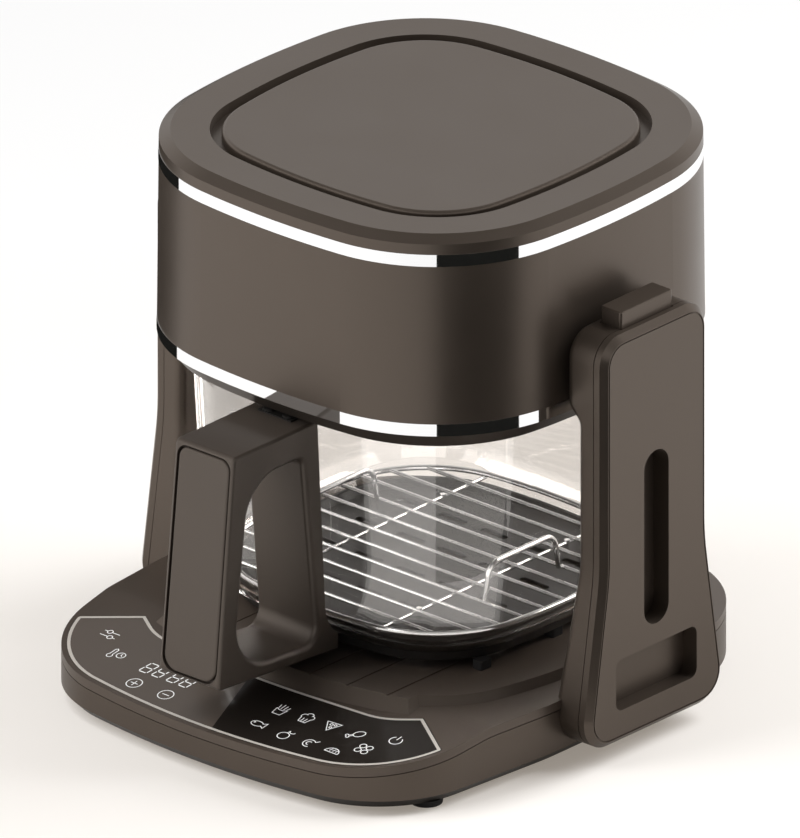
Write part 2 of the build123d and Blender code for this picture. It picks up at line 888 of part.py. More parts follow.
# Top cover: cap with a sloping edge and a seat for the lid plate
cap_side = head_wall(housing_top, cap_shoulder)
cap_rim = head_plan(cap_shoulder)
cap_edge = head_plan(cap_shoulder, cap_slope_width)
cap_slope = between(cap_rim, cap_shoulder, cap_edge, head_top)
cap_hollow = head_plan(housing_top, band_depth + housing_wall)
lid_seat = bowed_square(groove_half, groove_bow, groove_corner)
with BuildPart() as top_cover:
    add(cap_side)
    add(cap_slope)
    with BuildSketch(level(head_top)):
        add(lid_seat)
    extrude(amount=-groove_depth, mode=Mode.SUBTRACT)
    with BuildSketch(level(housing_top)):
        add(cap_hollow)
    extrude(amount=head_top - groove_depth - cap_plate - housing_top, mode=Mode.SUBTRACT)
write(top_cover, "top_cover")

# Lid plate standing in the seat, with the shadow groove round it
lid_outline = bowed_square(groove_half - lid_gap, groove_bow, groove_corner - lid_gap)
with BuildPart() as lid_plate:
    with BuildSketch(level(head_top - groove_depth)):
        add(lid_outline)
    extrude(amount=groove_depth + lid_proud)
    fillet(lid_plate.edges().group_by(Axis.Z)[-1], lid_round)
write(lid_plate, "lid_plate")

# Skirt ring under the lower band, drawn in towards the bowl
skirt_top = bowed_square(skirt_half, head_bow, skirt_corner)
skirt_foot = bowed_square(skirt_half - skirt_draw, head_bow, skirt_corner - skirt_draw)
skirt_block = between(skirt_foot, skirt_bottom, skirt_top, head_bottom)
skirt_mouth = bowed_square(skirt_opening, bowl_bow, mouth_corner)
skirt_screws = both_sides([(skirt_screw_radius, 0)]) + [(0, -skirt_screw_radius), (0, skirt_screw_radius)]
with BuildPart() as skirt_ring:
    add(skirt_block)
    with BuildSketch(level(head_bottom)):
        add(skirt_mouth)
    extrude(amount=-skirt_height, mode=Mode.SUBTRACT)
    with BuildSketch(level(skirt_bottom)):
        with Locations(*skirt_screws):
            Circle(screw_head + screw_clearance)
    extrude(amount=head_screw_recess, mode=Mode.SUBTRACT)
    with BuildSketch(level(skirt_bottom)):
        with Locations(*skirt_screws):
            Circle(screw_shank)
    extrude(amount=skirt_height, mode=Mode.SUBTRACT)
write(skirt_ring, "skirt_ring")

# Heat shield: pressed pan, open below, flanged onto the skirt ring
shield_outline = bowed_square(shield_half, bowl_bow, shield_corner)
shield_hollow = bowed_square(shield_half - shield_sheet, bowl_bow, shield_corner - shield_sheet)
flange_outline = bowed_square(shield_flange, bowl_bow, flange_corner)
element_feet = [(element_turns[0], -element_opening), (element_turns[1], -element_opening)]
with BuildPart() as heat_shield:
    with BuildSketch(level(shield_bottom)):
        add(shield_outline)
    extrude(amount=shield_top - shield_bottom)
    with BuildSketch(level(head_bottom)):
        add(flange_outline)
    extrude(amount=shield_sheet)
    with BuildSketch(level(shield_bottom)):
        add(shield_hollow)
    extrude(amount=shield_top - shield_sheet - shield_bottom, mode=Mode.SUBTRACT)
    with BuildSketch(level(shield_top)):
        Circle(hub_radius + hub_rise)
        with Locations(*element_feet):
            Circle(element_radius + element_gap)
    extrude(amount=-2 * shield_sheet, mode=Mode.SUBTRACT)
    with BuildSketch(level(head_bottom)):
        with Locations(*skirt_screws):
            Circle(screw_shank)
    extrude(amount=shield_sheet, mode=Mode.SUBTRACT)
write(heat_shield, "heat_shield")

# Screws that hold the shield to the skirt ring
head_screw_seat = level(skirt_bottom + head_screw_recess - screw_pan)
head_screw_set = pan_head_screws(skirt_screws, head_screw_seat, screw_pan, head_screw_length)
with BuildPart() as head_screws:
    add(head_screw_set)
write(head_screws, "head_screws")

# Heating element: tube in two open turns joined by a bend, with upright ends in collars
outer_turn, inner_turn = element_turns
bend_radius = (outer_turn - inner_turn) / 2
bend_middle = (outer_turn + inner_turn) / 2
with BuildPart() as heating_element:
    with BuildLine(level(element_height)) as element_path:
        Line((outer_turn, -element_opening), (outer_turn, 0.0))
        CenterArc((0, 0), outer_turn, 0, 270)
        CenterArc((0, -bend_middle), bend_radius, -90, 180)
        CenterArc((0, 0), inner_turn, 270, -270)
        Line((inner_turn, 0.0), (inner_turn, -element_opening))
    tube_end = (outer_turn, axis_y - element_opening, element_height)
    with BuildSketch(Plane(origin=tube_end, x_dir=(1, 0, 0), z_dir=(0, 1, 0))):
        RegularPolygon(element_radius, wire_sides)
    sweep(path=element_path.line)
    with BuildSketch(level(element_height)):
        with Locations(*element_feet):
            Circle(element_radius)
    extrude(amount=element_rise)
    with BuildSketch(level(shield_top)):
        with Locations(*element_feet):
            Circle(collar_radius)
    extrude(amount=collar_height)
    with BuildSketch(level(element_height)):
        with Locations(*element_feet):
            Circle(element_radius)
    extrude(amount=-element_radius)
write(heating_element, "heating_element")

# Guard under the element: slotted plate on four posts
guard_outline = bowed_square(guard_half, bowl_bow, guard_corner)
with BuildPart() as heater_guard:
    with BuildSketch(level(guard_height)):
        add(guard_outline)
        for ring_radius, slot_count in guard_rings:
            with PolarLocations(ring_radius, slot_count):
                Rectangle(*guard_slot, mode=Mode.SUBTRACT)
    extrude(amount=guard_sheet)
    with BuildSketch(level(guard_height)):
        with GridLocations(2 * guard_post, 2 * guard_post, 2, 2):
            Circle(guard_post_radius)
    extrude(amount=shield_top - shield_sheet - guard_height)
write(heater_guard, "heater_guard")

# Fan shaft through the motor
with BuildPart() as fan_shaft:
    with BuildSketch(level(shaft_span[0])):
        Circle(shaft_radius)
    extrude(amount=shaft_span[1] - shaft_span[0])
write(fan_shaft, "fan_shaft")

# Hot-air fan: disc, hub and swept blades below the disc
disc_bottom = fan_height + blade_height
with BuildPart() as hot_air_fan:
    with BuildSketch(level(disc_bottom)):
        Circle(fan_radius)
    extrude(amount=fan_disc)
    with BuildSketch(level(fan_height)):
        Circle(hub_radius)
    extrude(amount=blade_height + fan_disc + hub_rise)
    with BuildSketch(level(fan_height)):
        with PolarLocations(blade_middle, blade_count):
            Rectangle(blade_length, blade_sheet, rotation=blade_sweep)
    extrude(amount=blade_height)
    with BuildSketch(level(fan_height)):
        Circle(shaft_radius)
    extrude(amount=2 * blade_height, mode=Mode.SUBTRACT)
write(hot_air_fan, "hot_air_fan")

# Cooling fan above the motor: pitched blades on a hub
tilt = radians(cooler_pitch)
cooler_middle = Vector(0, axis_y, cooler_height + cooler_hub[1] / 2)
cooler_blade_reach = (hub_radius + cooler_radius) / 2
with BuildPart() as cooling_fan:
    with BuildSketch(level(cooler_height)):
        Circle(cooler_hub[0])
    extrude(amount=cooler_hub[1])
    for index in range(cooler_blades):
        turn = radians(index * 360 / cooler_blades)
        reach = Vector(cos(turn), sin(turn), 0)
        normal = Vector(-sin(turn) * sin(tilt), cos(turn) * sin(tilt), cos(tilt))
        with BuildSketch(Plane(origin=cooler_middle + reach * cooler_blade_reach, x_dir=reach, z_dir=normal)):
            RectangleRounded(cooler_radius - hub_radius, cooler_blade_width, cooler_blade_corner)
        extrude(amount=cooler_blade_half, both=True)
    with BuildSketch(level(cooler_height)):
        Circle(shaft_radius)
    extrude(amount=cooler_hub[1], mode=Mode.SUBTRACT)
write(cooling_fan, "cooling_fan")

# Motor with end boss and running bore
with BuildPart() as fan_motor:
    with BuildSketch(level(motor_span[0])):
        Circle(motor_radius)
    extrude(amount=motor_span[1] - motor_span[0])
    chamfer(fan_motor.edges().group_by(Axis.Z)[-1], motor_bevel)
    with BuildSketch(level(motor_span[1])):
        Circle(motor_boss[0])
    extrude(amount=motor_boss[1])
    with BuildSketch(level(motor_span[0])):
        Circle(shaft_radius + shaft_clearance)
    extrude(amount=motor_span[1] - motor_span[0] + motor_boss[1], mode=Mode.SUBTRACT)
write(fan_motor, "fan_motor")

# Motor bracket: bent strip standing on the shield
bracket_low = shield_top + bracket_sheet / 2
bracket_high = motor_span[0] - bracket_sheet / 2
bracket_right = [
    (bracket_bends[1], bracket_high),
    (bracket_bends[0], bracket_low),
    (bracket_foot, bracket_low),
]
bracket_left = [(-x, z) for x, z in reversed(bracket_right)]
with BuildPart() as motor_bracket:
    with BuildSketch(across(bracket_width / 2)):
        with BuildLine():
            FilletPolyline(*bracket_left, *bracket_right, radius=bracket_bend_radius)
        trace(line_width=bracket_sheet)
    extrude(amount=bracket_width)
    with BuildSketch(level(motor_span[0])):
        Circle(hub_radius + hub_rise)
    extrude(amount=-2 * bracket_sheet, mode=Mode.SUBTRACT)
write(motor_bracket, "motor_bracket")

# Glass bowl
bowl_outside = bowl_solid()
bowl_inside = bowl_solid(glass, glass)
with BuildPart() as glass_bowl:
    add(bowl_outside)
    add(bowl_inside, mode=Mode.SUBTRACT)
write(glass_bowl, "glass_bowl")

# Ring that cups the bowl's foot, and its pads
ring_outline = bowed_square(ring_half, ring_bow, ring_corner)
ring_hole = bowed_square(ring_half - ring_width, ring_bow, ring_corner - ring_width)
ring_top = bowed_square(ring_half + ring_flare, ring_bow, ring_corner + ring_flare)
ring_block = between(ring_outline, ring_bottom, ring_top, ring_bottom + ring_height)
with BuildPart() as bowl_ring:
    add(ring_block)
    add(bowl_outside, mode=Mode.SUBTRACT)
    with BuildSketch(level(ring_bottom)):
        add(ring_hole)
    extrude(amount=ring_height, mode=Mode.SUBTRACT)
write(bowl_ring, "bowl_ring")

pad_bottom = plinth_height + pad_lift
with BuildPart() as bowl_pads:
    with BuildSketch(level(pad_bottom)):
        with GridLocations(2 * pad_x, pad_pitch, 2, 3):
            RectangleRounded(*pad_size, pad_corner)
    extrude(amount=ring_bottom - pad_bottom)
write(bowl_pads, "bowl_pads")


# Crisper tray: pressed dark pan with flared sides, standing on short feet
def tray_solid(inset, floor):
    """Tray's outside, or its inside when drawn in from a floor."""
    wall = tray_rim - tray_height
    foot = bowed_square(tray_half + floor - inset, tray_bow, tray_corner + floor - inset)
    mouth = bowed_square(tray_half + wall - inset, tray_bow, tray_corner + wall - inset)
    return between(foot, tray_height + floor, mouth, tray_rim)


tray_outside = tray_solid(0, 0)
tray_inside = tray_solid(tray_wall, tray_sheet)
with BuildPart() as crisper_tray:
    add(tray_outside)
    add(tray_inside, mode=Mode.SUBTRACT)
    with BuildSketch(level(tray_height)):
        with GridLocations(*tray_slot_pitch, *tray_slot_counts):
            SlotOverall(*tray_slot)
    extrude(amount=tray_sheet, mode=Mode.SUBTRACT)
    with BuildSketch(level(tray_height)):
        with GridLocations(tray_foot_pitch, tray_foot_pitch, 2, 2):
            Circle(tray_foot_radius)
    extrude(amount=-tray_foot)
write(crisper_tray, "crisper_tray")

# Handle: leaning loop whose back follows the glass, with a recess in front for its cover
handle_outline = [grip_top, grip_foot, (handle_back, handle_bottom), (handle_back, grip_top[1])]
handle_front_view = [
    (-handle_foot_half, handle_bottom),
    (handle_foot_half, handle_bottom),
    (handle_top_half, grip_top[1]),
    (-handle_top_half, grip_top[1]),
]
lean = Plane(
    origin=(0, axis_y + (grip_top[0] + grip_foot[0]) / 2, (grip_top[1] + grip_foot[1]) / 2),
    x_dir=(1, 0, 0),
    z_dir=(0, grip_foot[1] - grip_top[1], grip_top[0] - grip_foot[0]),
)
grip_length = ((grip_top[0] - grip_foot[0]) ** 2 + (grip_top[1] - grip_foot[1]) ** 2) ** 0.5


def cover_plan(rim):
    """Front cover's outline on the leaning front, a rim's width inside the handle."""
    top = handle_top_half - rim
    foot = handle_foot_half - rim
    end = grip_length / 2 - rim
    corners = [(-foot, -end), (foot, -end), (top, end), (-top, end)]
    with BuildSketch() as plan:
        with BuildLine():
            FilletPolyline(*corners, radius=cover_radii, close=True)
        make_face()
    return plan.sketch


cover_recess = cover_plan(cover_rim)
cover_outline = cover_plan(cover_rim + cover_gap)
with BuildPart() as handle_body:
    with BuildSketch(side(-handle_foot_half)):
        with BuildLine():
            FilletPolyline(*handle_outline, radius=handle_radii, close=True)
        make_face()
        with BuildLine():
            FilletPolyline(*loop_corners, radius=loop_radii, close=True)
        make_face(mode=Mode.SUBTRACT)
    extrude(amount=2 * handle_foot_half)
    with BuildSketch(across(0)):
        with BuildLine():
            Polyline(*handle_front_view, close=True)
        make_face()
    extrude(amount=handle_reach + cut_margin, mode=Mode.INTERSECT)
    for end in (0, -1):
        flank = handle_body.faces().sort_by(Axis.X)[end]
        fillet(flank.inner_wires()[0].edges(), loop_round)
    for end in (0, -1):
        flank = handle_body.faces().filter_by(Plane.YZ, tolerance=5).sort_by(Axis.X)[end]
        fillet(flank.outer_wire().edges().sort_by(Axis.Y)[:-1], handle_round)
    add(bowl_outside, mode=Mode.SUBTRACT)
    with BuildSketch(level(grip_top[1])):
        with Locations(*both_sides([(clip_screw_x, clip_screw_y)])):
            Circle(screw_shank)
    extrude(amount=-handle_screw_length, mode=Mode.SUBTRACT)
    with BuildSketch(lean):
        add(cover_recess)
    extrude(amount=-cover_depth, mode=Mode.SUBTRACT)
write(handle_body, "handle_body")

# Handle's front cover, inlaid with a shadow gap
with BuildPart() as handle_cover:
    with BuildSketch(lean):
        add(cover_outline)
    extrude(amount=-cover_depth)
    fillet(handle_cover.faces().sort_by(Axis.Y)[0].edges(), cover_round)
write(handle_cover, "handle_cover")

# Spring clip over the bowl's rim, screwed to the handle's top
clip_over = rim_height + clip_sheet / 2 + clip_gap
clip_seat = grip_top[1] + clip_sheet / 2
clip_path = [
    (-rim_inside, rim_height - clip_drop),
    (-rim_inside, clip_over),
    (-bowl_half - clip_bends[0], clip_over),
    (-bowl_half - clip_bends[1], clip_seat),
    (-clip_reach, clip_seat),
]
with BuildPart() as handle_clip:
    with BuildSketch(side(0)):
        with BuildLine():
            Polyline(*clip_path)
        trace(line_width=clip_sheet)
    extrude(amount=clip_half, both=True)
    with BuildSketch(level(rim_height)):
        with Locations(*both_sides([(clip_screw_x, clip_screw_y)])):
            Circle(screw_shank)
    extrude(amount=-handle_screw_length, mode=Mode.SUBTRACT)
write(handle_clip, "handle_clip")

# Screws down through the clip into the handle
handle_screw_top = (0, axis_y, grip_top[1] + clip_sheet + handle_screw_pan)
handle_screw_plane = Plane(origin=handle_screw_top, x_dir=(1, 0, 0), z_dir=(0, 0, -1))
handle_screw_spots = both_sides([(clip_screw_x, -clip_screw_y)])
handle_screw_sizes = (handle_screw_pan, handle_screw_length)
handle_screw_set = pan_head_screws(handle_screw_spots, handle_screw_plane, *handle_screw_sizes)
with BuildPart() as handle_screws:
    add(handle_screw_set)
write(handle_screws, "handle_screws")

# Rack: rim wire, cross wires on two runners with legs, and two lift loops
rack_outline = bowed_square(rack_half, rack_bow, rack_corner)
rim_path = rack_outline.face().outer_wire().moved(Location((0, axis_y, rack_height)))
runner_height = rack_height - 2 * cross_wire + runner_bite
rim_start = Plane(origin=(0, axis_y - rack_half, rack_height), x_dir=(0, 1, 0), z_dir=(1, 0, 0))
with BuildPart() as rack_wires:
    with BuildSketch(side(-rack_half)):
        with Locations((0, rack_height)):
            with GridLocations(cross_pitch, 0, cross_rows, 1):
                RegularPolygon(cross_wire, wire_sides)
    extrude(amount=2 * rack_half)
    with BuildSketch(across(rack_half)):
        with Locations((-runner_x, runner_height), (runner_x, runner_height)):
            RegularPolygon(cross_wire, wire_sides)
    extrude(amount=2 * rack_half)
    with BuildSketch(level(rack_leg_foot)):
        add(rack_outline)
    extrude(amount=lift_height - rack_leg_foot, mode=Mode.INTERSECT)
with BuildPart() as grill_rack:
    with BuildSketch(rim_start):
        RegularPolygon(rim_wire, wire_sides)
    sweep(path=rim_path)
    add(rack_wires.part)
    with BuildSketch(level(rack_leg_foot)):
        with GridLocations(2 * runner_x, leg_pitch, 2, 2):
            RegularPolygon(rim_wire, wire_sides)
    extrude(amount=rack_height - rack_leg_foot)
    for sign in (1, -1):
        with BuildLine(side(sign * lift_x)) as lift_path:
            FilletPolyline(
                (-lift_half, rack_height),
                (lift_lean - lift_half, lift_height),
                (lift_half - lift_lean, lift_height),
                (lift_half, rack_height),
                radius=lift_bend,
            )
        with BuildSketch(Plane(origin=lift_path.line @ 0, z_dir=lift_path.line % 0)):
            RegularPolygon(rim_wire, wire_sides)
        sweep(path=lift_path.line)
write(grill_rack, "grill_rack")
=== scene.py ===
"""Looks for a counter-top hot-air cooker with a glass bowl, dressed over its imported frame."""

import json
import logging
import math
from dataclasses import dataclass, field
from enum import Enum
from typing import Any, Iterable, Sequence

import bpy
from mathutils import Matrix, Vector


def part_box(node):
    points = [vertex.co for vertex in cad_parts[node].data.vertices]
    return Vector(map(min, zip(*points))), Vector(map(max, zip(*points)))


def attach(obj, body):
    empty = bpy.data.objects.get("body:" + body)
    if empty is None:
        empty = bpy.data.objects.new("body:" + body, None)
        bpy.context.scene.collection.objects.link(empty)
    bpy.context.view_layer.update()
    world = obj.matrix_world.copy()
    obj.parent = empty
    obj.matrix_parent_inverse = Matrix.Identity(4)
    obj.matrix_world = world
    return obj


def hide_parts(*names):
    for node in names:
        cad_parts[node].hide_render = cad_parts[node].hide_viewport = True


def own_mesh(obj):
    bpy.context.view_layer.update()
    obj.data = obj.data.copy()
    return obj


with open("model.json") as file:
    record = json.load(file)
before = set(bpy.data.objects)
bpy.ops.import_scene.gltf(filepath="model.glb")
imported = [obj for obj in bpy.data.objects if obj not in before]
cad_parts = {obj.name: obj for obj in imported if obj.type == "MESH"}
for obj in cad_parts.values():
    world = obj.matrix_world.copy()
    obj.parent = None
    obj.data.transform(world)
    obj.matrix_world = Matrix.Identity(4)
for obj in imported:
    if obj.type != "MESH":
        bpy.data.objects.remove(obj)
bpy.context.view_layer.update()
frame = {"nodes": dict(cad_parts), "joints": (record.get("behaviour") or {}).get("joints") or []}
LOG = logging.getLogger("cooker")

Point2 = tuple[float, float]
Point3 = tuple[float, float, float]
Stroke = list[Point2]
Colour = tuple[float, float, float]
Tint = Colour | bpy.types.NodeSocket

MM = 0.001
AXIS_Y = sum(corner[1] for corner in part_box("glass_bowl")) / 2 / MM

# The deck in millimetres: its height at the back, the crease where it starts to fall, and its fall.
DECK_HEIGHT = 38.4
DECK_CREASE = -107.8
DECK_SLOPE = 12.0 / 85.7

# Limits of a drawn line's corners: the least cosine that widens a mitre, and a turn straight back.
MITRE_LIMIT = 0.5
TURN_BACK = 0.2

CLOUD_DETAIL = 3.0
WARM_GREY: Colour = (0.115, 0.091, 0.073)
WHITE: Colour = (1.0, 1.0, 1.0)


class Body(Enum):
    """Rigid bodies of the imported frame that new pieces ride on."""

    FRAME = "frame"


class Slot(Enum):
    """Material slots of the record that new pieces take their finish from."""

    BRIGHT = "bright"
    STEEL = "steel"


class Side(Enum):
    """The two arms, as seen from the front."""

    RIGHT = "right"
    LEFT = "left"


class Sock:
    """A shader value that takes Python arithmetic and adds the Math nodes for it."""

    def __init__(self, shader: "Shader", socket: bpy.types.NodeSocket) -> None:
        """Wrap an output socket of a shader's tree."""
        self.shader = shader
        self.socket = socket

    def _math(self, operation: str, first: Any, second: Any) -> "Sock":
        """One Math node.

        Args:
            operation: Blender's name of the operation.
            first: value or socket for the first input.
            second: value or socket for the second input.

        Returns:
            The node's result.
        """
        made = self.shader.node("ShaderNodeMath", {"operation": operation}, {0: first, 1: second})
        return Sock(self.shader, made.outputs[0])

    def __add__(self, other: Any) -> "Sock":
        """Sum."""
        return self._math("ADD", self, other)

    def __radd__(self, other: Any) -> "Sock":
        """Sum with the value on the left."""
        return self._math("ADD", other, self)

    def __sub__(self, other: Any) -> "Sock":
        """Difference."""
        return self._math("SUBTRACT", self, other)

    def __rsub__(self, other: Any) -> "Sock":
        """Difference with the value on the left."""
        return self._math("SUBTRACT", other, self)

    def __mul__(self, other: Any) -> "Sock":
        """Product."""
        return self._math("MULTIPLY", self, other)

    def __rmul__(self, other: Any) -> "Sock":
        """Product with the value on the left."""
        return self._math("MULTIPLY", other, self)

    def __gt__(self, other: Any) -> "Sock":
        """One where greater, else nought."""
        return self._math("GREATER_THAN", self, other)

    def __lt__(self, other: Any) -> "Sock":
        """One where less, else nought."""
        return self._math("LESS_THAN", self, other)

    def highest(self, other: Any) -> "Sock":
        """The greater of two values."""
        return self._math("MAXIMUM", self, other)


class Shader:
    """A node tree, built from named nodes and socket arithmetic."""

    def __init__(self, tree: bpy.types.NodeTree) -> None:
        """Clear a tree and keep it."""
        self.tree = tree
        tree.nodes.clear()

    def node(self, kind: str, settings: dict[str, Any], sockets: dict[Any, Any]) -> bpy.types.Node:
        """Add a node.

        Args:
            kind: Blender's node type.
            settings: attributes, set before the sockets.
            sockets: input name or number to a value, a Sock or an output socket.

        Returns:
            The new node.
        """
        made = self.tree.nodes.new(kind)
        for name, value in settings.items():
            setattr(made, name, value)
        for key, value in sockets.items():
            if isinstance(value, Sock):
                self.tree.links.new(value.socket, made.inputs[key])
            elif isinstance(value, bpy.types.NodeSocket):
                self.tree.links.new(value, made.inputs[key])
            else:
                made.inputs[key].default_value = value
        return made

    def place(self) -> bpy.types.NodeSocket:
        """Position on the object, in metres."""
        return self.node("ShaderNodeTexCoord", {}, {}).outputs["Object"]

    def parts(self, vector: bpy.types.NodeSocket) -> list[Sock]:
        """The x, y and z of a vector."""
        made = self.node("ShaderNodeSeparateXYZ", {}, {0: vector})
        return [Sock(self, output) for output in made.outputs]

    def ray(self, kind: str) -> Sock:
        """One for rays of a kind, by Light Path's name for it, else nought."""
        return Sock(self, self.node("ShaderNodeLightPath", {}, {}).outputs[kind])

    def in_sight(self) -> Sock:
        """One where the camera looks at the surface, straight or through glass, else nought."""
        return self.ray("Is Camera Ray").highest(self.ray("Is Transmission Ray"))

    def ramp(self, value: Sock | bpy.types.NodeSocket, low: float, high: float) -> Sock:
        """A value that rises from nought at one limit to one at the other."""
        made = self.node("ShaderNodeMapRange", {}, {"Value": value, "From Min": low, "From Max": high})
        return Sock(self, made.outputs[0])

    def noise(self, scale: float, detail: float = 2.0, stretch: Colour = (1.0, 1.0, 1.0)) -> Sock:
        """Noise over the object.

        Args:
            scale: features per metre.
            detail: octaves.
            stretch: scale of each axis.

        Returns:
            A value about one half.
        """
        mapped = self.node("ShaderNodeMapping", {}, {"Vector": self.place(), "Scale": stretch})
        sockets = {"Vector": mapped.outputs[0], "Scale": scale, "Detail": detail}
        made = self.node("ShaderNodeTexNoise", {}, sockets)
        return Sock(self, made.outputs[0])

    def blend(self, factor: Sock, first: Tint, second: Tint) -> bpy.types.NodeSocket:
        """Mix of two colours.

        Args:
            factor: share of the second colour.
            first: a colour, written out or from a socket.
            second: another.

        Returns:
            The mixed colour.
        """
        ends = [(*tint, 1.0) if isinstance(tint, tuple) else tint for tint in (first, second)]
        sockets = {0: factor, 6: ends[0], 7: ends[1]}
        return self.node("ShaderNodeMix", {"data_type": "RGBA"}, sockets).outputs[2]

    def bump(self, height: Sock, strength: float, distance: float) -> bpy.types.NodeSocket:
        """Surface normal shaken by a height."""
        sockets = {"Strength": strength, "Distance": distance, "Height": height}
        return self.node("ShaderNodeBump", {}, sockets).outputs[0]

    def mix(self, factor: Sock, first: bpy.types.Node, second: bpy.types.Node) -> bpy.types.Node:
        """Mix of two shader nodes by the share of the second."""
        sockets = {0: factor, 1: first.outputs[0], 2: second.outputs[0]}
        return self.node("ShaderNodeMixShader", {}, sockets)

    def close(self, surface: bpy.types.Node) -> None:
        """End a material's tree with a shader node."""
        self.node("ShaderNodeOutputMaterial", {}, {"Surface": surface.outputs[0]})

    def surface(self, **sockets: Any) -> None:
        """End a material's tree with one principled surface, its socket names written with underscores."""
        named = {name.replace("_", " "): value for name, value in sockets.items()}
        self.close(self.node("ShaderNodeBsdfPrincipled", {}, named))


def new_shader(name: str) -> tuple[bpy.types.Material, Shader]:
    """Start a material.

    Args:
        name: the material's name.

    Returns:
        The empty material and its shader.
    """
    material = bpy.data.materials.new(name)
    material.use_nodes = True
    return material, Shader(material.node_tree)


def shade(colour: Colour, factor: float) -> Colour:
    """A colour made darker or lighter."""
    return (colour[0] * factor, colour[1] * factor, colour[2] * factor)


@dataclass(frozen=True)
class MouldedPlastic:
    """Injection-moulded plastic with a fine spark-eroded grain.

    Some have a metallic pigment, or painted shade that darkens the faces looking down.
    """

    name: str
    colour: Colour
    roughness: float = 0.36
    grain: float = 0.12
    grain_scale: float = 1500.0
    pigment: float = 0.0
    # Painted shade: the share of the colour kept on faces that look down.
    under: float = 1.0
    painted_shade_from: float = -0.4
    grain_depth: float = 0.0002
    cloud_scale: float = 26.0
    cloud_tone: float = 0.06
    cloud_gloss: float = 0.1

    def material(self) -> bpy.types.Material:
        """Build the finish.

        Returns:
            The material.
        """
        made, shader = new_shader(self.name)
        grain = shader.noise(self.grain_scale)
        cloud = shader.noise(self.cloud_scale, CLOUD_DETAIL)
        darker, lighter = shade(self.colour, 1 - self.cloud_tone), shade(self.colour, 1 + self.cloud_tone)
        colour: Tint = shader.blend(cloud, darker, lighter)
        # Painted shade: faces that look down are darkened in the base colour, as if in shadow.
        if self.under < 1.0:
            facing = shader.node("ShaderNodeNewGeometry", {}, {}).outputs["True Normal"]
            rise = shader.parts(facing)[2]
            colour = shader.blend(rise < self.painted_shade_from, colour, shade(self.colour, self.under))
        shader.surface(
            Base_Color=colour,
            Roughness=self.roughness - self.cloud_gloss / 2 + self.cloud_gloss * cloud,
            Metallic=self.pigment,
            Normal=shader.bump(grain, self.grain, self.grain_depth),
        )
        return made


@dataclass(frozen=True)
class PlatedMetal:
    """Bright or satin metal with a faint run in its gloss."""

    name: str
    colour: Colour
    roughness: float
    spread: float = 0.04
    run: Colour = (1.0, 1.0, 1.0)
    run_scale: float = 60.0
    dull_tone: float = 0.96

    def material(self) -> bpy.types.Material:
        """Build the finish.

        Returns:
            The material.
        """
        made, shader = new_shader(self.name)
        cloud = shader.noise(self.run_scale, CLOUD_DETAIL, self.run)
        shader.surface(
            Base_Color=shader.blend(cloud, shade(self.colour, self.dull_tone), self.colour),
            Metallic=1.0,
            Roughness=self.roughness + self.spread * cloud,
        )
        return made


@dataclass(frozen=True)
class ClearGlass:
    """Pressed clear glass, thin enough to bend little.

    It lets the lamps through to what stands behind it.
    """

    name: str
    colour: Colour = (0.945, 0.925, 0.905)
    bend: float = 1.03
    gloss: float = 1.95
    polish: float = 0.004
    haze: float = 0.012
    haze_scale: float = 14.0

    def material(self) -> bpy.types.Material:
        """Build the finish.

        Returns:
            The material.
        """
        made, shader = new_shader(self.name)
        tint = (*self.colour, 1.0)
        glass = shader.node(
            "ShaderNodeBsdfPrincipled",
            {},
            {
                "Base Color": tint,
                "Roughness": self.polish + self.haze * shader.noise(self.haze_scale),
                "IOR": self.bend,
                "Transmission Weight": 1.0,
                "Coat Weight": 1.0,
                "Coat IOR": self.gloss,
                "Coat Roughness": 0.0,
            },
        )
        clear = shader.node("ShaderNodeBsdfTransparent", {}, {"Color": tint})
        shader.close(shader.mix(shader.ray("Is Shadow Ray"), glass, clear))
        return made


@dataclass(frozen=True)
class PanelGloss:
    """Glossy cover of the touch panel, grey on the left and black on the right of a slanted line."""

    name: str
    left: Colour = (0.104, 0.084, 0.070)
    right: Colour = (0.019, 0.0155, 0.013)
    split_x: float = 9.7
    split_y: float = -190.0
    split_lean: float = -18.1 / 50.0
    polish: float = 0.12
    smear: float = 0.08
    smear_scale: float = 40.0
    shine: float = 0.12
    lacquer: float = 0.04
    lacquer_roughness: float = 0.05

    def material(self) -> bpy.types.Material:
        """Build the finish.

        Returns:
            The material.
        """
        made, shader = new_shader(self.name)
        across, along = shader.parts(shader.place())[:2]
        start_y = (self.split_y + AXIS_Y) * MM
        side = across - (self.split_x * MM + (along - start_y) * self.split_lean)
        shader.surface(
            Base_Color=shader.blend(side > 0.0, self.left, self.right),
            Roughness=self.polish + self.smear * shader.noise(self.smear_scale, CLOUD_DETAIL),
            Specular_IOR_Level=self.shine,
            Coat_Weight=self.lacquer,
            Coat_Roughness=self.lacquer_roughness,
        )
        return made


@dataclass(frozen=True)
class PrintedInk:
    """Pale back-lit print on the panel."""

    name: str
    colour: Colour
    glow: float
    roughness: float = 0.3
    mottle: float = 0.1
    mottle_scale: float = 300.0
    mottle_tone: float = 0.93

    def material(self) -> bpy.types.Material:
        """Build the finish.

        Returns:
            The material.
        """
        made, shader = new_shader(self.name)
        cloud = shader.noise(self.mottle_scale)
        shader.surface(
            Base_Color=shader.blend(cloud, shade(self.colour, self.mottle_tone), self.colour),
            Roughness=self.roughness + self.mottle * cloud,
            Emission_Color=(*self.colour, 1.0),
            Emission_Strength=self.glow,
        )
        return made


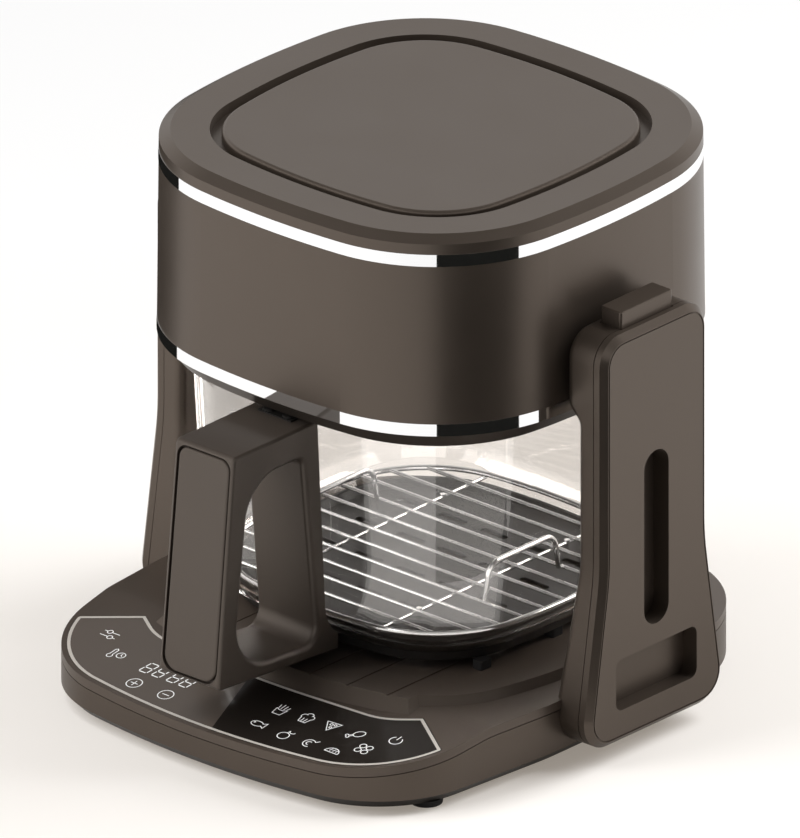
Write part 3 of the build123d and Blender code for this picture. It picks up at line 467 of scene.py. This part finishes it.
class Finishes:
    """Every finish of the cooker, built once."""

    def __init__(self) -> None:
        """Build the materials."""
        self.shell = MouldedPlastic("warm_grey_shell", WARM_GREY, pigment=0.65).material()
        self.deck = MouldedPlastic("deck_moulding", (0.118, 0.093, 0.075), pigment=0.45).material()
        # Painted shade: the base's bottom chamfer and underside are darkened to a fifth of the colour.
        self.tray = MouldedPlastic("base_moulding", WARM_GREY, pigment=0.65, under=0.2).material()
        self.grip = MouldedPlastic("satin_grip", (0.096, 0.077, 0.063), 0.4, pigment=0.45).material()
        # Painted shade: the skirt takes a darker copy of the shell colour for the shadow under the lower
        # band.
        self.skirt = MouldedPlastic("skirt_painted_shade", (0.095, 0.078, 0.065), pigment=0.65).material()
        self.dark = MouldedPlastic("black_moulding", (0.016, 0.015, 0.014), 0.42).material()
        self.rubber = MouldedPlastic("foot_rubber", (0.014, 0.013, 0.013), 0.75, 0.3, 900.0).material()
        self.coating = MouldedPlastic("tray_coating", (0.020, 0.019, 0.018), 0.5, 0.3, 700.0).material()
        self.board = MouldedPlastic("board_mask", (0.02, 0.10, 0.045), 0.35, 0.1).material()
        self.bright = PlatedMetal("bright_band", (0.985, 0.985, 0.985), 0.03, 0.02).material()
        self.wire = PlatedMetal("rack_plating", (0.78, 0.78, 0.78), 0.14, 0.06).material()
        self.steel = PlatedMetal(
            "brushed_steel", (0.58, 0.58, 0.59), 0.28, 0.14, run=(1.0, 14.0, 1.0)
        ).material()
        self.sheet = PlatedMetal("pressed_aluminium", (0.72, 0.72, 0.71), 0.3, 0.12).material()
        self.element = PlatedMetal(
            "heater_tube", (0.16, 0.145, 0.13), 0.5, 0.16, run_scale=180.0
        ).material()
        self.motor = PlatedMetal("motor_can", (0.42, 0.42, 0.43), 0.4, 0.1).material()
        self.glass = ClearGlass("bowl_glass").material()
        self.panel = PanelGloss("panel_gloss").material()
        self.ink = PrintedInk("panel_print", (0.80, 0.80, 0.79), 0.35).material()
        self.border = PrintedInk("panel_line", (0.56, 0.52, 0.47), 0.06).material()


def dress(material: bpy.types.Material, nodes: Iterable[str]) -> None:
    """Give CAD nodes a finish through their own material slots.

    Args:
        material: the finish.
        nodes: names of the nodes.
    """
    for name in nodes:
        for slot in frame["nodes"][name].material_slots:
            slot.material = material
        LOG.info("dressed %s with %s", name, material.name)


def add_object(name: str, data: bpy.types.ID) -> bpy.types.Object:
    """Put a mesh, a lamp or a camera into the scene.

    Args:
        name: the object's name.
        data: what it shows.

    Returns:
        The new object.
    """
    made = bpy.data.objects.new(name, data)
    bpy.context.scene.collection.objects.link(made)
    return made


def add_piece(
    mesh: bpy.types.Mesh, material: bpy.types.Material, body: Body
) -> bpy.types.Object:
    """Put a new mesh on the cooker as a piece of its own.

    Args:
        mesh: the piece's mesh, whose name the piece takes.
        material: its only material.
        body: the rigid body that carries it.

    Returns:
        The new object.
    """
    mesh.materials.append(material)
    made = add_object(mesh.name, mesh)
    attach(made, body.value)
    LOG.info("made %s", mesh.name)
    return made


def deck_point(x: float, y: float, lift: float) -> Point3:
    """A point on the sloping deck, in metres.

    Args:
        x: millimetres to the right of the middle.
        y: millimetres behind the bowl's axis.
        lift: millimetres above the deck.

    Returns:
        The point in the frame.
    """
    drop = max(0.0, DECK_CREASE - y) * DECK_SLOPE
    return (x * MM, (y + AXIS_Y) * MM, (DECK_HEIGHT - drop + lift) * MM)


def mitre(before: Vector, here: Vector, after: Vector) -> Vector:
    """Step to the left of a line at one of its points, longer in a bend so that the line keeps its width.

    Args:
        before: the point before, or the point itself at the line's start.
        here: the point.
        after: the point after, or the point itself at the line's end.

    Returns:
        The step for an offset of one.
    """
    into, away = here - before, after - here
    into = into.normalized() if into.length > 0 else away.normalized()
    away = away.normalized() if away.length > 0 else into
    along = (into + away).normalized() if (into + away).length > TURN_BACK else away
    left = Vector((-along.y, along.x))
    cut = max(MITRE_LIMIT, abs(left.dot(Vector((-away.y, away.x)))))
    return left / cut


@dataclass
class Inking:
    """Flat ribbons drawn along strokes on the deck, with a line width and a lift in millimetres."""

    width: float
    lift: float
    points: list[Point3] = field(default_factory=list)
    faces: list[tuple[int, ...]] = field(default_factory=list)

    def stroke(self, line: Sequence[Point2], closed: bool = False) -> None:
        """Add a mitred ribbon along a line.

        Args:
            line: points in millimetres on the deck.
            closed: whether the line comes back to its start.
        """
        path = [Vector(point) for point in line]
        count = len(path)
        start = len(self.points)
        for index, here in enumerate(path):
            before = path[index - 1] if closed or index else here
            after = path[(index + 1) % count] if closed or index < count - 1 else here
            step = mitre(before, here, after) * (self.width / 2)
            for spot in (here + step, here - step):
                self.points.append(deck_point(spot.x, spot.y, self.lift))
        for index in range(count if closed else count - 1):
            a = start + 2 * index
            b = start + 2 * ((index + 1) % count)
            self.faces.append((a, a + 1, b + 1, b))

    def piece(self, name: str, material: bpy.types.Material) -> None:
        """Close the drawing as one piece that rides on the frame.

        Args:
            name: the piece's name.
            material: its ink.
        """
        mesh = bpy.data.meshes.new(name)
        mesh.from_pydata(self.points, [], self.faces)
        add_piece(mesh, material, Body.FRAME)


def arc(
    centre: Point2, radius: float, start: float, end: float, squash: float = 1.0, steps: int = 14
) -> Stroke:
    """Points along an arc of a circle or an ellipse.

    Args:
        centre: its middle.
        radius: half its width.
        start: first angle in degrees.
        end: last angle in degrees.
        squash: its height for a width of one.
        steps: number of straight steps.

    Returns:
        The points.
    """
    turns = [math.radians(start + (end - start) * step / steps) for step in range(steps + 1)]
    return [
        (centre[0] + radius * math.cos(turn), centre[1] + radius * squash * math.sin(turn))
        for turn in turns
    ]


def circle(centre: Point2, radius: float, steps: int) -> Stroke:
    """Points round a circle, the first of them again at the end."""
    return arc(centre, radius, 0, 360, steps=steps)


@dataclass
class PanelPrint:
    """Pictograms and display of the touch panel, in millimetres about the bowl's axis."""

    line: float = 0.56
    lift: float = 0.06
    icon_scale: float = 1.15
    key_ring: float = 3.9
    digits: int = 4
    digit_line: float = 0.78
    digit_width: float = 5.6
    digit_height: float = 9.6
    digit_gap: float = 0.5
    digit_pitch: float = 9.0
    digit_split: float = 1.6
    digit_slant: float = 0.12
    digit_start: Point2 = (-65.6, -164.6)
    places: dict[str, Point2] = field(
        default_factory=lambda: {
            "sliders": (-104.3, -144.5),
            "timer": (-87.0, -158.0),
            "plus": (-58.5, -176.0),
            "minus": (-35.6, -176.0),
            "fries": (29.0, -154.0),
            "cupcake": (46.5, -153.0),
            "slice": (63.4, -152.0),
            "drumstick": (81.0, -152.0),
            "fish": (28.0, -172.0),
            "fruit": (48.0, -173.0),
            "prawn": (65.0, -172.0),
            "loaf": (82.0, -171.5),
            "grid": (95.0, -161.0),
            "power": (104.0, -145.0),
        }
    )

    def pictograms(self) -> dict[str, list[Stroke]]:
        """Strokes of every key.

        Returns:
            Each key's lines about its own middle.
        """
        ring = circle((0, 0), self.key_ring, 24)
        return {
            "sliders": [
                [(-4.6, 1.9), (-2.9, 1.9)],
                circle((-1.5, 1.9), 1.4, 14),
                [(-0.1, 1.9), (4.6, 1.9)],
                [(-4.6, -1.9), (0.1, -1.9)],
                circle((1.5, -1.9), 1.4, 14),
                [(2.9, -1.9), (4.6, -1.9)],
            ],
            "timer": [
                arc((-2.6, -2.6), 1.5, 130, 410),
                [(-3.5, -1.5), (-3.5, 3.0), (-2.6, 3.8), (-1.7, 3.0), (-1.7, -1.5)],
                circle((2.4, 0.0), 2.3, 14),
                [(2.4, 1.4), (2.4, 0.0), (3.4, -0.6)],
            ],
            "plus": [ring, [(-2.1, 0), (2.1, 0)], [(0, -2.1), (0, 2.1)]],
            "minus": [ring, [(-2.1, 0), (2.1, 0)]],
            "fries": [
                [(-3.2, 0.6), (-2.3, -4.2), (2.3, -4.2), (3.2, 0.6)]
                + [(1.2, -0.4), (-1.2, -0.4), (-3.2, 0.6)],
                [(-2.5, 0.9), (-3.0, 3.6)],
                [(-0.9, 0.4), (-1.0, 4.4)],
                [(0.8, 0.4), (1.0, 3.9)],
                [(2.4, 0.9), (3.0, 3.2)],
            ],
            "cupcake": [
                [(-3.0, -0.4), (-2.1, -4.0), (2.1, -4.0), (3.0, -0.4)],
                arc((-2.0, 0.8), 1.7, 60, 250),
                arc((0.0, 2.2), 1.9, 0, 180),
                arc((2.0, 0.8), 1.7, -70, 120),
                [(-1.0, -0.6), (-0.7, -3.8)],
                [(1.0, -0.6), (0.7, -3.8)],
            ],
            "slice": [
                [(-4.2, 2.4), (4.2, 3.0), (0.6, -4.4), (-4.2, 2.4)],
                circle((-0.6, 0.9), 0.8, 10),
                circle((1.6, 1.2), 0.7, 10),
                circle((0.6, -1.4), 0.7, 10),
            ],
            "drumstick": [
                [(-0.2, -1.3), (-1.2, -0.4), (-1.2, 1.3), (-0.2, 3.0), (1.6, 4.0), (3.2, 3.8)]
                + [(4.0, 2.4), (3.6, 0.6), (2.4, -0.9), (0.9, -1.5), (-0.2, -1.3)],
                [(-1.1, -0.7), (-2.6, -2.2)],
                [(-0.5, -1.3), (-2.0, -2.8)],
                arc((-3.2, -2.4), 0.8, 20, 300, steps=10),
                arc((-2.2, -3.4), 0.8, -210, 70, steps=10),
            ],
            "fish": [
                arc((-0.6, 0), 3.4, 25, 335, squash=0.62, steps=20),
                [(2.4, 1.0), (4.4, 2.2), (4.4, -2.2), (2.4, -1.0)],
                circle((-2.4, 0.5), 0.4, 8),
            ],
            "fruit": [
                arc((0, -0.8), 3.0, 0, 360, squash=0.95, steps=20),
                [(0, 2.0), (0.6, 4.2)],
                arc((2.2, 3.4), 1.5, 180, 380, squash=0.6),
            ],
            "prawn": [
                arc((0.4, -0.4), 3.1, 40, 300),
                arc((0.4, -0.4), 1.4, 60, 280),
                [(2.6, 1.6), (4.2, 3.4)],
            ],
            "loaf": [
                arc((0, -1.6), 4.0, 0, 180, squash=0.95, steps=18) + [(4.0, -1.6)],
                [(-1.8, -0.6), (-1.0, 1.4)],
                [(0.0, -0.6), (0.8, 1.6)],
                [(1.8, -0.6), (2.4, 1.0)],
            ],
            "grid": [circle((x, y), 1.7, 12) for x in (-2.0, 2.0) for y in (-2.0, 2.0)],
            "power": [arc((0, 0), 3.2, 125, 415, steps=20), [(0, 0.6), (0, 4.2)]],
        }

    def segments(self, start: Point2) -> list[Stroke]:
        """The seven bars of one digit, leaning to the right.

        Args:
            start: the digit's lower left corner.

        Returns:
            A line for each bar.
        """
        w, h, gap = self.digit_width, self.digit_height, self.digit_gap
        level = [[(gap, y), (w - gap, y)] for y in (0, h / 2, h)]
        upright = [[(x, y + gap), (x, y + h / 2 - gap)] for y in (0, h / 2) for x in (0, w)]
        return [
            [(start[0] + x + y * self.digit_slant, start[1] + y) for x, y in bar]
            for bar in level + upright
        ]

    def draw(self, finishes: Finishes) -> None:
        """Ink the keys and the display.

        Args:
            finishes: the cooker's finishes.
        """
        keys = Inking(self.line, self.lift)
        drawings = self.pictograms()
        for name, (across, along) in self.places.items():
            for line in drawings[name]:
                keys.stroke([(across + x * self.icon_scale, along + y * self.icon_scale) for x, y in line])
        keys.piece("panel_keys", finishes.ink)
        display = Inking(self.digit_line, self.lift)
        for index in range(self.digits):
            shift = index * self.digit_pitch + (self.digit_split if index >= self.digits // 2 else 0.0)
            for bar in self.segments((self.digit_start[0] + shift, self.digit_start[1])):
                display.stroke(bar)
        display.piece("panel_display", finishes.ink)


@dataclass
class PanelLine:
    """Pale line printed just inside the touch panel's edge.

    Its sizes are in millimetres; the join and the spacing of the edge's points are in metres.
    """

    width: float = 1.8
    inset: float = 1.3
    lift: float = 0.05
    join: float = 1e-6
    spacing: float = 0.0004
    upward: float = 0.9

    def edge_loop(self) -> list[Vector]:
        """The panel's upper edge as points in order, read from the CAD node.

        Returns:
            Plan points in metres.
        """
        mesh = frame["nodes"]["touch_panel"].data
        uses: dict[tuple, int] = {}
        for face in mesh.polygons:
            if face.normal.z <= self.upward:
                continue
            places = [mesh.vertices[index].co for index in face.vertices]
            corners = [tuple(round(c / self.join) for c in place) for place in places]
            for a, b in zip(corners, corners[1:] + corners[:1]):
                if (b, a) in uses:
                    uses.pop((b, a))
                else:
                    uses[(a, b)] = 1
        follow = {a: b for a, b in uses}
        first = next(iter(follow))
        loop, here = [first], follow[first]
        while here != first and len(loop) < len(follow):
            loop.append(here)
            here = follow[here]
        return [Vector((point[0], point[1])) * self.join for point in loop]

    def draw(self, finishes: Finishes) -> None:
        """Ink the line along the panel's edge.

        Args:
            finishes: the cooker's finishes.
        """
        loop = self.edge_loop()
        spaced = [loop[0]]
        for point in loop[1:]:
            if (point - spaced[-1]).length > self.spacing:
                spaced.append(point)
        inner = []
        for index, here in enumerate(spaced):
            step = mitre(spaced[index - 1], here, spaced[(index + 1) % len(spaced)])
            spot = here / MM + step * self.inset
            inner.append((spot.x, spot.y - AXIS_Y))
        line = Inking(self.width, self.lift)
        line.stroke(inner, closed=True)
        line.piece("panel_line", finishes.border)


@dataclass
class BaseUnit:
    """Base with its deck, touch panel, boards and feet."""

    keys: PanelPrint = field(default_factory=PanelPrint)
    line: PanelLine = field(default_factory=PanelLine)

    def build(self, finishes: Finishes) -> None:
        """Dress the base and ink its panel.

        Args:
            finishes: the cooker's finishes.
        """
        dress(finishes.tray, ["base_tray"])
        dress(finishes.deck, ["base_cover"])
        dress(finishes.panel, ["touch_panel"])
        dress(finishes.board, ["control_board", "power_board"])
        dress(finishes.rubber, ["feet"])
        dress(finishes.dark, ["cord_gland"])
        dress(finishes.steel, ["base_screws", "arm_screws"])
        self.keys.draw(finishes)
        self.line.draw(finishes)


@dataclass
class SideArms:
    """The two arms with their release buttons and leaf springs."""

    spring_sheet: float = 0.8
    spring_steps: int = 40
    spring_crease: float = 30.0

    def leaf_mesh(self, name: str, low: Vector, high: Vector) -> bpy.types.Mesh:
        """Bowed strip of sheet, round in side view, that fills a box.

        Args:
            name: the mesh's name.
            low: the box's lowest corner in metres.
            high: the box's highest corner in metres.

        Returns:
            The mesh.
        """
        outer = (high.y - low.y) / 2
        inner = outer - self.spring_sheet * MM
        middle = (low.y + high.y) / 2
        centre = high.z - outer
        dip = math.asin((centre - low.z) / outer)
        section = [(outer, low.x), (outer, high.x), (inner, high.x), (inner, low.x)]
        corners = len(section)
        points, faces = [], [tuple(range(corners))]
        for step in range(self.spring_steps + 1):
            turn = (math.pi + 2 * dip) * step / self.spring_steps - dip
            for radius, x in section:
                points.append((x, middle + radius * math.cos(turn), centre + radius * math.sin(turn)))
        last = corners * self.spring_steps
        for start in range(0, last, corners):
            for corner in range(corners):
                a, b = start + corner, start + (corner + 1) % corners
                faces.append((b, a, a + corners, b + corners))
        faces.append(tuple(last + corner for corner in reversed(range(corners))))
        mesh = bpy.data.meshes.new(name)
        mesh.from_pydata(points, [], faces)
        mesh.shade_smooth()
        mesh.set_sharp_from_angle(angle=math.radians(self.spring_crease))
        return mesh

    def leaf_spring(self, side: Side, material: bpy.types.Material) -> None:
        """Leaf under a button, in place of the CAD spring; its travel is read, but nothing flattens the
        leaf.

        Args:
            side: the arm that the leaf belongs to.
            material: the leaf's metal.
        """
        node, joint = f"{side.value}_button_spring", f"{side.value}_button_press"
        low, high = (Vector(corner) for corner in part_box(node))
        mesh = self.leaf_mesh(f"{side.value}_leaf_spring", low, high)
        made = add_piece(mesh, material, Body.FRAME)
        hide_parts(node)
        travel = next(row["range_m"][1] for row in frame["joints"] if row["name"] == joint)
        keep = 1 - travel / (high.z - low.z)
        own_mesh(made)

    def build(self, finishes: Finishes) -> None:
        """Dress both arms and lay in their springs.

        Args:
            finishes: the cooker's finishes.
        """
        for side in Side:
            parts = ("arm_shell", "arm_cover", "button")
            dress(finishes.shell, [f"{side.value}_{part}" for part in parts])
            self.leaf_spring(side, finishes.steel)


@dataclass
class HeatingHead:
    """Head with its bands, cover, heater and fan."""

    shell_nodes: tuple[str, ...] = ("head_housing", "top_cover", "lid_plate")

    def build(self, finishes: Finishes) -> None:
        """Dress the head's pieces.

        Args:
            finishes: the cooker's finishes.
        """
        dress(finishes.shell, self.shell_nodes)
        dress(finishes.bright, ["upper_band", "lower_band"])
        dress(finishes.sheet, ["heat_shield", "hot_air_fan"])
        dress(finishes.steel, ["heater_guard", "motor_bracket", "head_screws", "fan_shaft"])
        dress(finishes.element, ["heating_element"])
        dress(finishes.motor, ["fan_motor"])
        dress(finishes.dark, ["cooling_fan"])
        # The skirt's darker colour is painted shade.
        dress(finishes.skirt, ["skirt_ring"])


@dataclass
class BowlSet:
    """Glass bowl with its ring, handle, tray and rack."""

    handle_nodes: tuple[str, ...] = ("handle_body", "handle_cover")

    def build(self, finishes: Finishes) -> None:
        """Dress the bowl's pieces.

        Args:
            finishes: the cooker's finishes.
        """
        dress(finishes.glass, ["glass_bowl"])
        dress(finishes.dark, ["bowl_ring"])
        dress(finishes.rubber, ["bowl_pads"])
        dress(finishes.coating, ["crisper_tray"])
        dress(finishes.grip, self.handle_nodes)
        # Painted shade: the clip and screws take the black finish for the shadow at the handle's back.
        dress(finishes.dark, ["handle_clip", "handle_screws"])
        dress(finishes.wire, ["grill_rack"])


def direction(azimuth: float, elevation: float) -> Vector:
    """A way out from the cooker.

    Args:
        azimuth: degrees from the front to the right.
        elevation: degrees up.

    Returns:
        The unit vector.
    """
    turn, rise = math.radians(azimuth), math.radians(elevation)
    flat = math.cos(rise)
    return Vector((math.sin(turn) * flat, -math.cos(turn) * flat, math.sin(rise)))


def aim_from(made: bpy.types.Object, place: Vector, target: Vector) -> None:
    """Put an object at a place, looking at a target."""
    made.location = place
    made.rotation_euler = (target - place).to_track_quat("-Z", "Y").to_euler()


@dataclass(frozen=True)
class Lamp:
    """Soft lamp that isn't seen in gloss, in degrees, metres and watts."""

    name: str
    azimuth: float
    elevation: float
    width: float
    height: float
    power: float
    distance: float = 1.5

    def build(self, target: Vector) -> None:
        """Hang the lamp.

        Args:
            target: the point that it shines at.
        """
        data = bpy.data.lights.new(self.name, "AREA")
        data.shape = "RECTANGLE"
        data.size = self.width
        data.size_y = self.height
        data.energy = self.power
        made = add_object(self.name, data)
        made.visible_glossy = False
        aim_from(made, target + direction(self.azimuth, self.elevation) * self.distance, target)


@dataclass(frozen=True)
class Card:
    """Dark card that stands round the cooker between two azimuths in degrees, seen only in gloss.

    Its foot lies just over the floor from near to far, in metres, and its wall stands on the far edge.
    """

    name: str
    start: float
    end: float
    near: float
    far: float = 0.45
    clear: float = 0.001
    height: float = 0.30
    steps: int = 12
    colour: Colour = (0.014, 0.014, 0.013)
    roughness: float = 0.9

    def build(self) -> None:
        """Stand the card up."""
        bend = [(self.near, self.clear), (self.far, self.clear), (self.far, self.height)]
        rows = len(bend)
        points: list[Point3] = []
        faces: list[tuple[int, ...]] = []
        for step in range(self.steps + 1):
            out = direction(self.start + (self.end - self.start) * step / self.steps, 0.0)
            points += [(out.x * reach, out.y * reach + AXIS_Y * MM, height) for reach, height in bend]
        for start in range(0, rows * self.steps, rows):
            for a in range(start, start + rows - 1):
                faces.append((a, a + rows, a + rows + 1, a + 1))
        mesh = bpy.data.meshes.new(self.name)
        mesh.from_pydata(points, [], faces)
        material, shader = new_shader(self.name)
        shader.surface(
            Base_Color=(*self.colour, 1.0), Roughness=self.roughness, Specular_IOR_Level=0.0
        )
        mesh.materials.append(material)
        made = add_object(self.name, mesh)
        made.visible_camera = False
        made.visible_diffuse = False
        made.visible_shadow = False
        made.visible_transmission = False


@dataclass(frozen=True)
class Floor:
    """Pale floor that keeps the cooker's shadow near by and turns white farther off, in metres."""

    half: float = 6.0
    near: float = 0.22
    far: float = 0.6
    cast_tone: Colour = (0.50, 0.48, 0.46)
    seen_tone: Colour = (1.0, 0.985, 0.97)
    # Painted shadow colour: a warm glow near the cooker that tints its shadow.
    painted_shadow_warmth: Colour = (1.0, 0.89, 0.77)
    mirrored: float = 0.4
    glow: float = 0.28
    glow_gain: float = 0.5

    def material(self) -> bpy.types.Material:
        """Build the floor's paint, darker for the light that it casts.

        Returns:
            The material.
        """
        made, shader = new_shader("studio_floor")
        ends = {0: shader.place(), 1: (0.0, AXIS_Y * MM, 0.0)}
        reach = shader.node("ShaderNodeVectorMath", {"operation": "DISTANCE"}, ends)
        away = shader.ramp(reach.outputs["Value"], self.near, self.far)
        in_gloss = shader.ray("Is Glossy Ray") * (self.mirrored + (1 - self.mirrored) * away)
        seen = shader.in_sight().highest(in_gloss)
        tone = shader.blend(seen, self.cast_tone, self.seen_tone)
        paint = shader.node("ShaderNodeBsdfDiffuse", {}, {"Color": tone})
        # The warm glow near the cooker paints the shadow's colour and turns white farther off.
        tint = shader.blend(away, self.painted_shadow_warmth, WHITE)
        white = shader.node("ShaderNodeEmission", {}, {"Color": tint, "Strength": 1.0})
        shader.close(shader.mix(seen * (self.glow + self.glow_gain * away), paint, white))
        return made

    def build(self) -> None:
        """Lay the floor."""
        corners = [(x * self.half, y * self.half, 0) for x, y in ((-1, -1), (1, -1), (1, 1), (-1, 1))]
        mesh = bpy.data.meshes.new("floor")
        mesh.from_pydata(corners, [], [(0, 1, 2, 3)])
        mesh.materials.append(self.material())
        made = add_object("floor", mesh)


@dataclass(frozen=True)
class Surround:
    """White surround, softer for the light that it casts and, in gloss, dark above a band of elevations."""

    cast: float = 0.12
    seen: float = 0.88
    mirrored: float = 0.76
    dims_from: float = 33.0
    dims_to: float = 42.0

    def build(self) -> None:
        """Set the world."""
        world = bpy.data.worlds.new("studio")
        world.use_nodes = True
        shader = Shader(world.node_tree)
        way = shader.node("ShaderNodeTexCoord", {}, {}).outputs["Generated"]
        low, high = (math.sin(math.radians(angle)) for angle in (self.dims_from, self.dims_to))
        level = 1.0 - shader.ramp(shader.parts(way)[2], low, high)
        in_gloss = self.mirrored * shader.ray("Is Glossy Ray") * level
        strength = self.cast + self.seen * shader.in_sight() + in_gloss
        glow = shader.node("ShaderNodeBackground", {}, {"Color": (*WHITE, 1.0), "Strength": strength})
        shader.node("ShaderNodeOutputWorld", {}, {"Surface": glow.outputs[0]})
        bpy.context.scene.world = world


@dataclass
class Studio:
    """Floor, surround, lamps, dark cards and camera, its scale in pixels to the millimetre."""

    azimuth: float = 41.8
    elevation: float = 24.4
    scale: float = 1.844
    image: tuple[int, int] = (800, 838)
    aim: Point3 = (-0.01253, AXIS_Y * MM - 0.0112, 0.1443)
    distance: float = 2.5
    clip: float = 20.0
    floor: Floor = Floor()
    surround: Surround = Surround()
    lamps: tuple[Lamp, ...] = (
        Lamp("left_lamp", azimuth=-36.0, elevation=24.0, width=0.9, height=0.9, power=11.8),
        Lamp("strip_lamp", azimuth=-11.0, elevation=20.0, width=0.16, height=0.9, power=2.0),
        Lamp("right_lamp", azimuth=145.0, elevation=40.0, width=1.2, height=1.2, power=28.0),
        Lamp("fill_lamp", azimuth=-34.0, elevation=58.0, width=0.9, height=0.9, power=9.4),
    )
    cards: tuple[Card, ...] = (
        Card("front_card", start=42.0, end=89.0, near=0.30),
        Card("side_card", start=-150.0, end=-66.0, near=0.44),
    )

    def camera(self) -> None:
        """Parallel camera at the photograph's angle."""
        data = bpy.data.cameras.new("camera")
        data.type = "ORTHO"
        data.sensor_fit = "VERTICAL"
        data.ortho_scale = self.image[1] / self.scale * MM
        data.clip_end = self.clip
        made = add_object("camera", data)
        target = Vector(self.aim)
        aim_from(made, target + direction(self.azimuth, self.elevation) * self.distance, target)
        bpy.context.scene.camera = made

    def build(self) -> None:
        """Set the stage."""
        bpy.context.scene.view_settings.view_transform = "Standard"
        self.floor.build()
        self.surround.build()
        for lamp in self.lamps:
            lamp.build(Vector(self.aim))
        for card in self.cards:
            card.build()
        self.camera()


def main() -> None:
    """Dress the cooker and set the studio."""
    logging.basicConfig(level=logging.INFO)
    finishes = Finishes()
    for assembly in (BaseUnit(), SideArms(), HeatingHead(), BowlSet()):
        assembly.build(finishes)
    Studio().build()


if __name__ == "__main__":
    main()
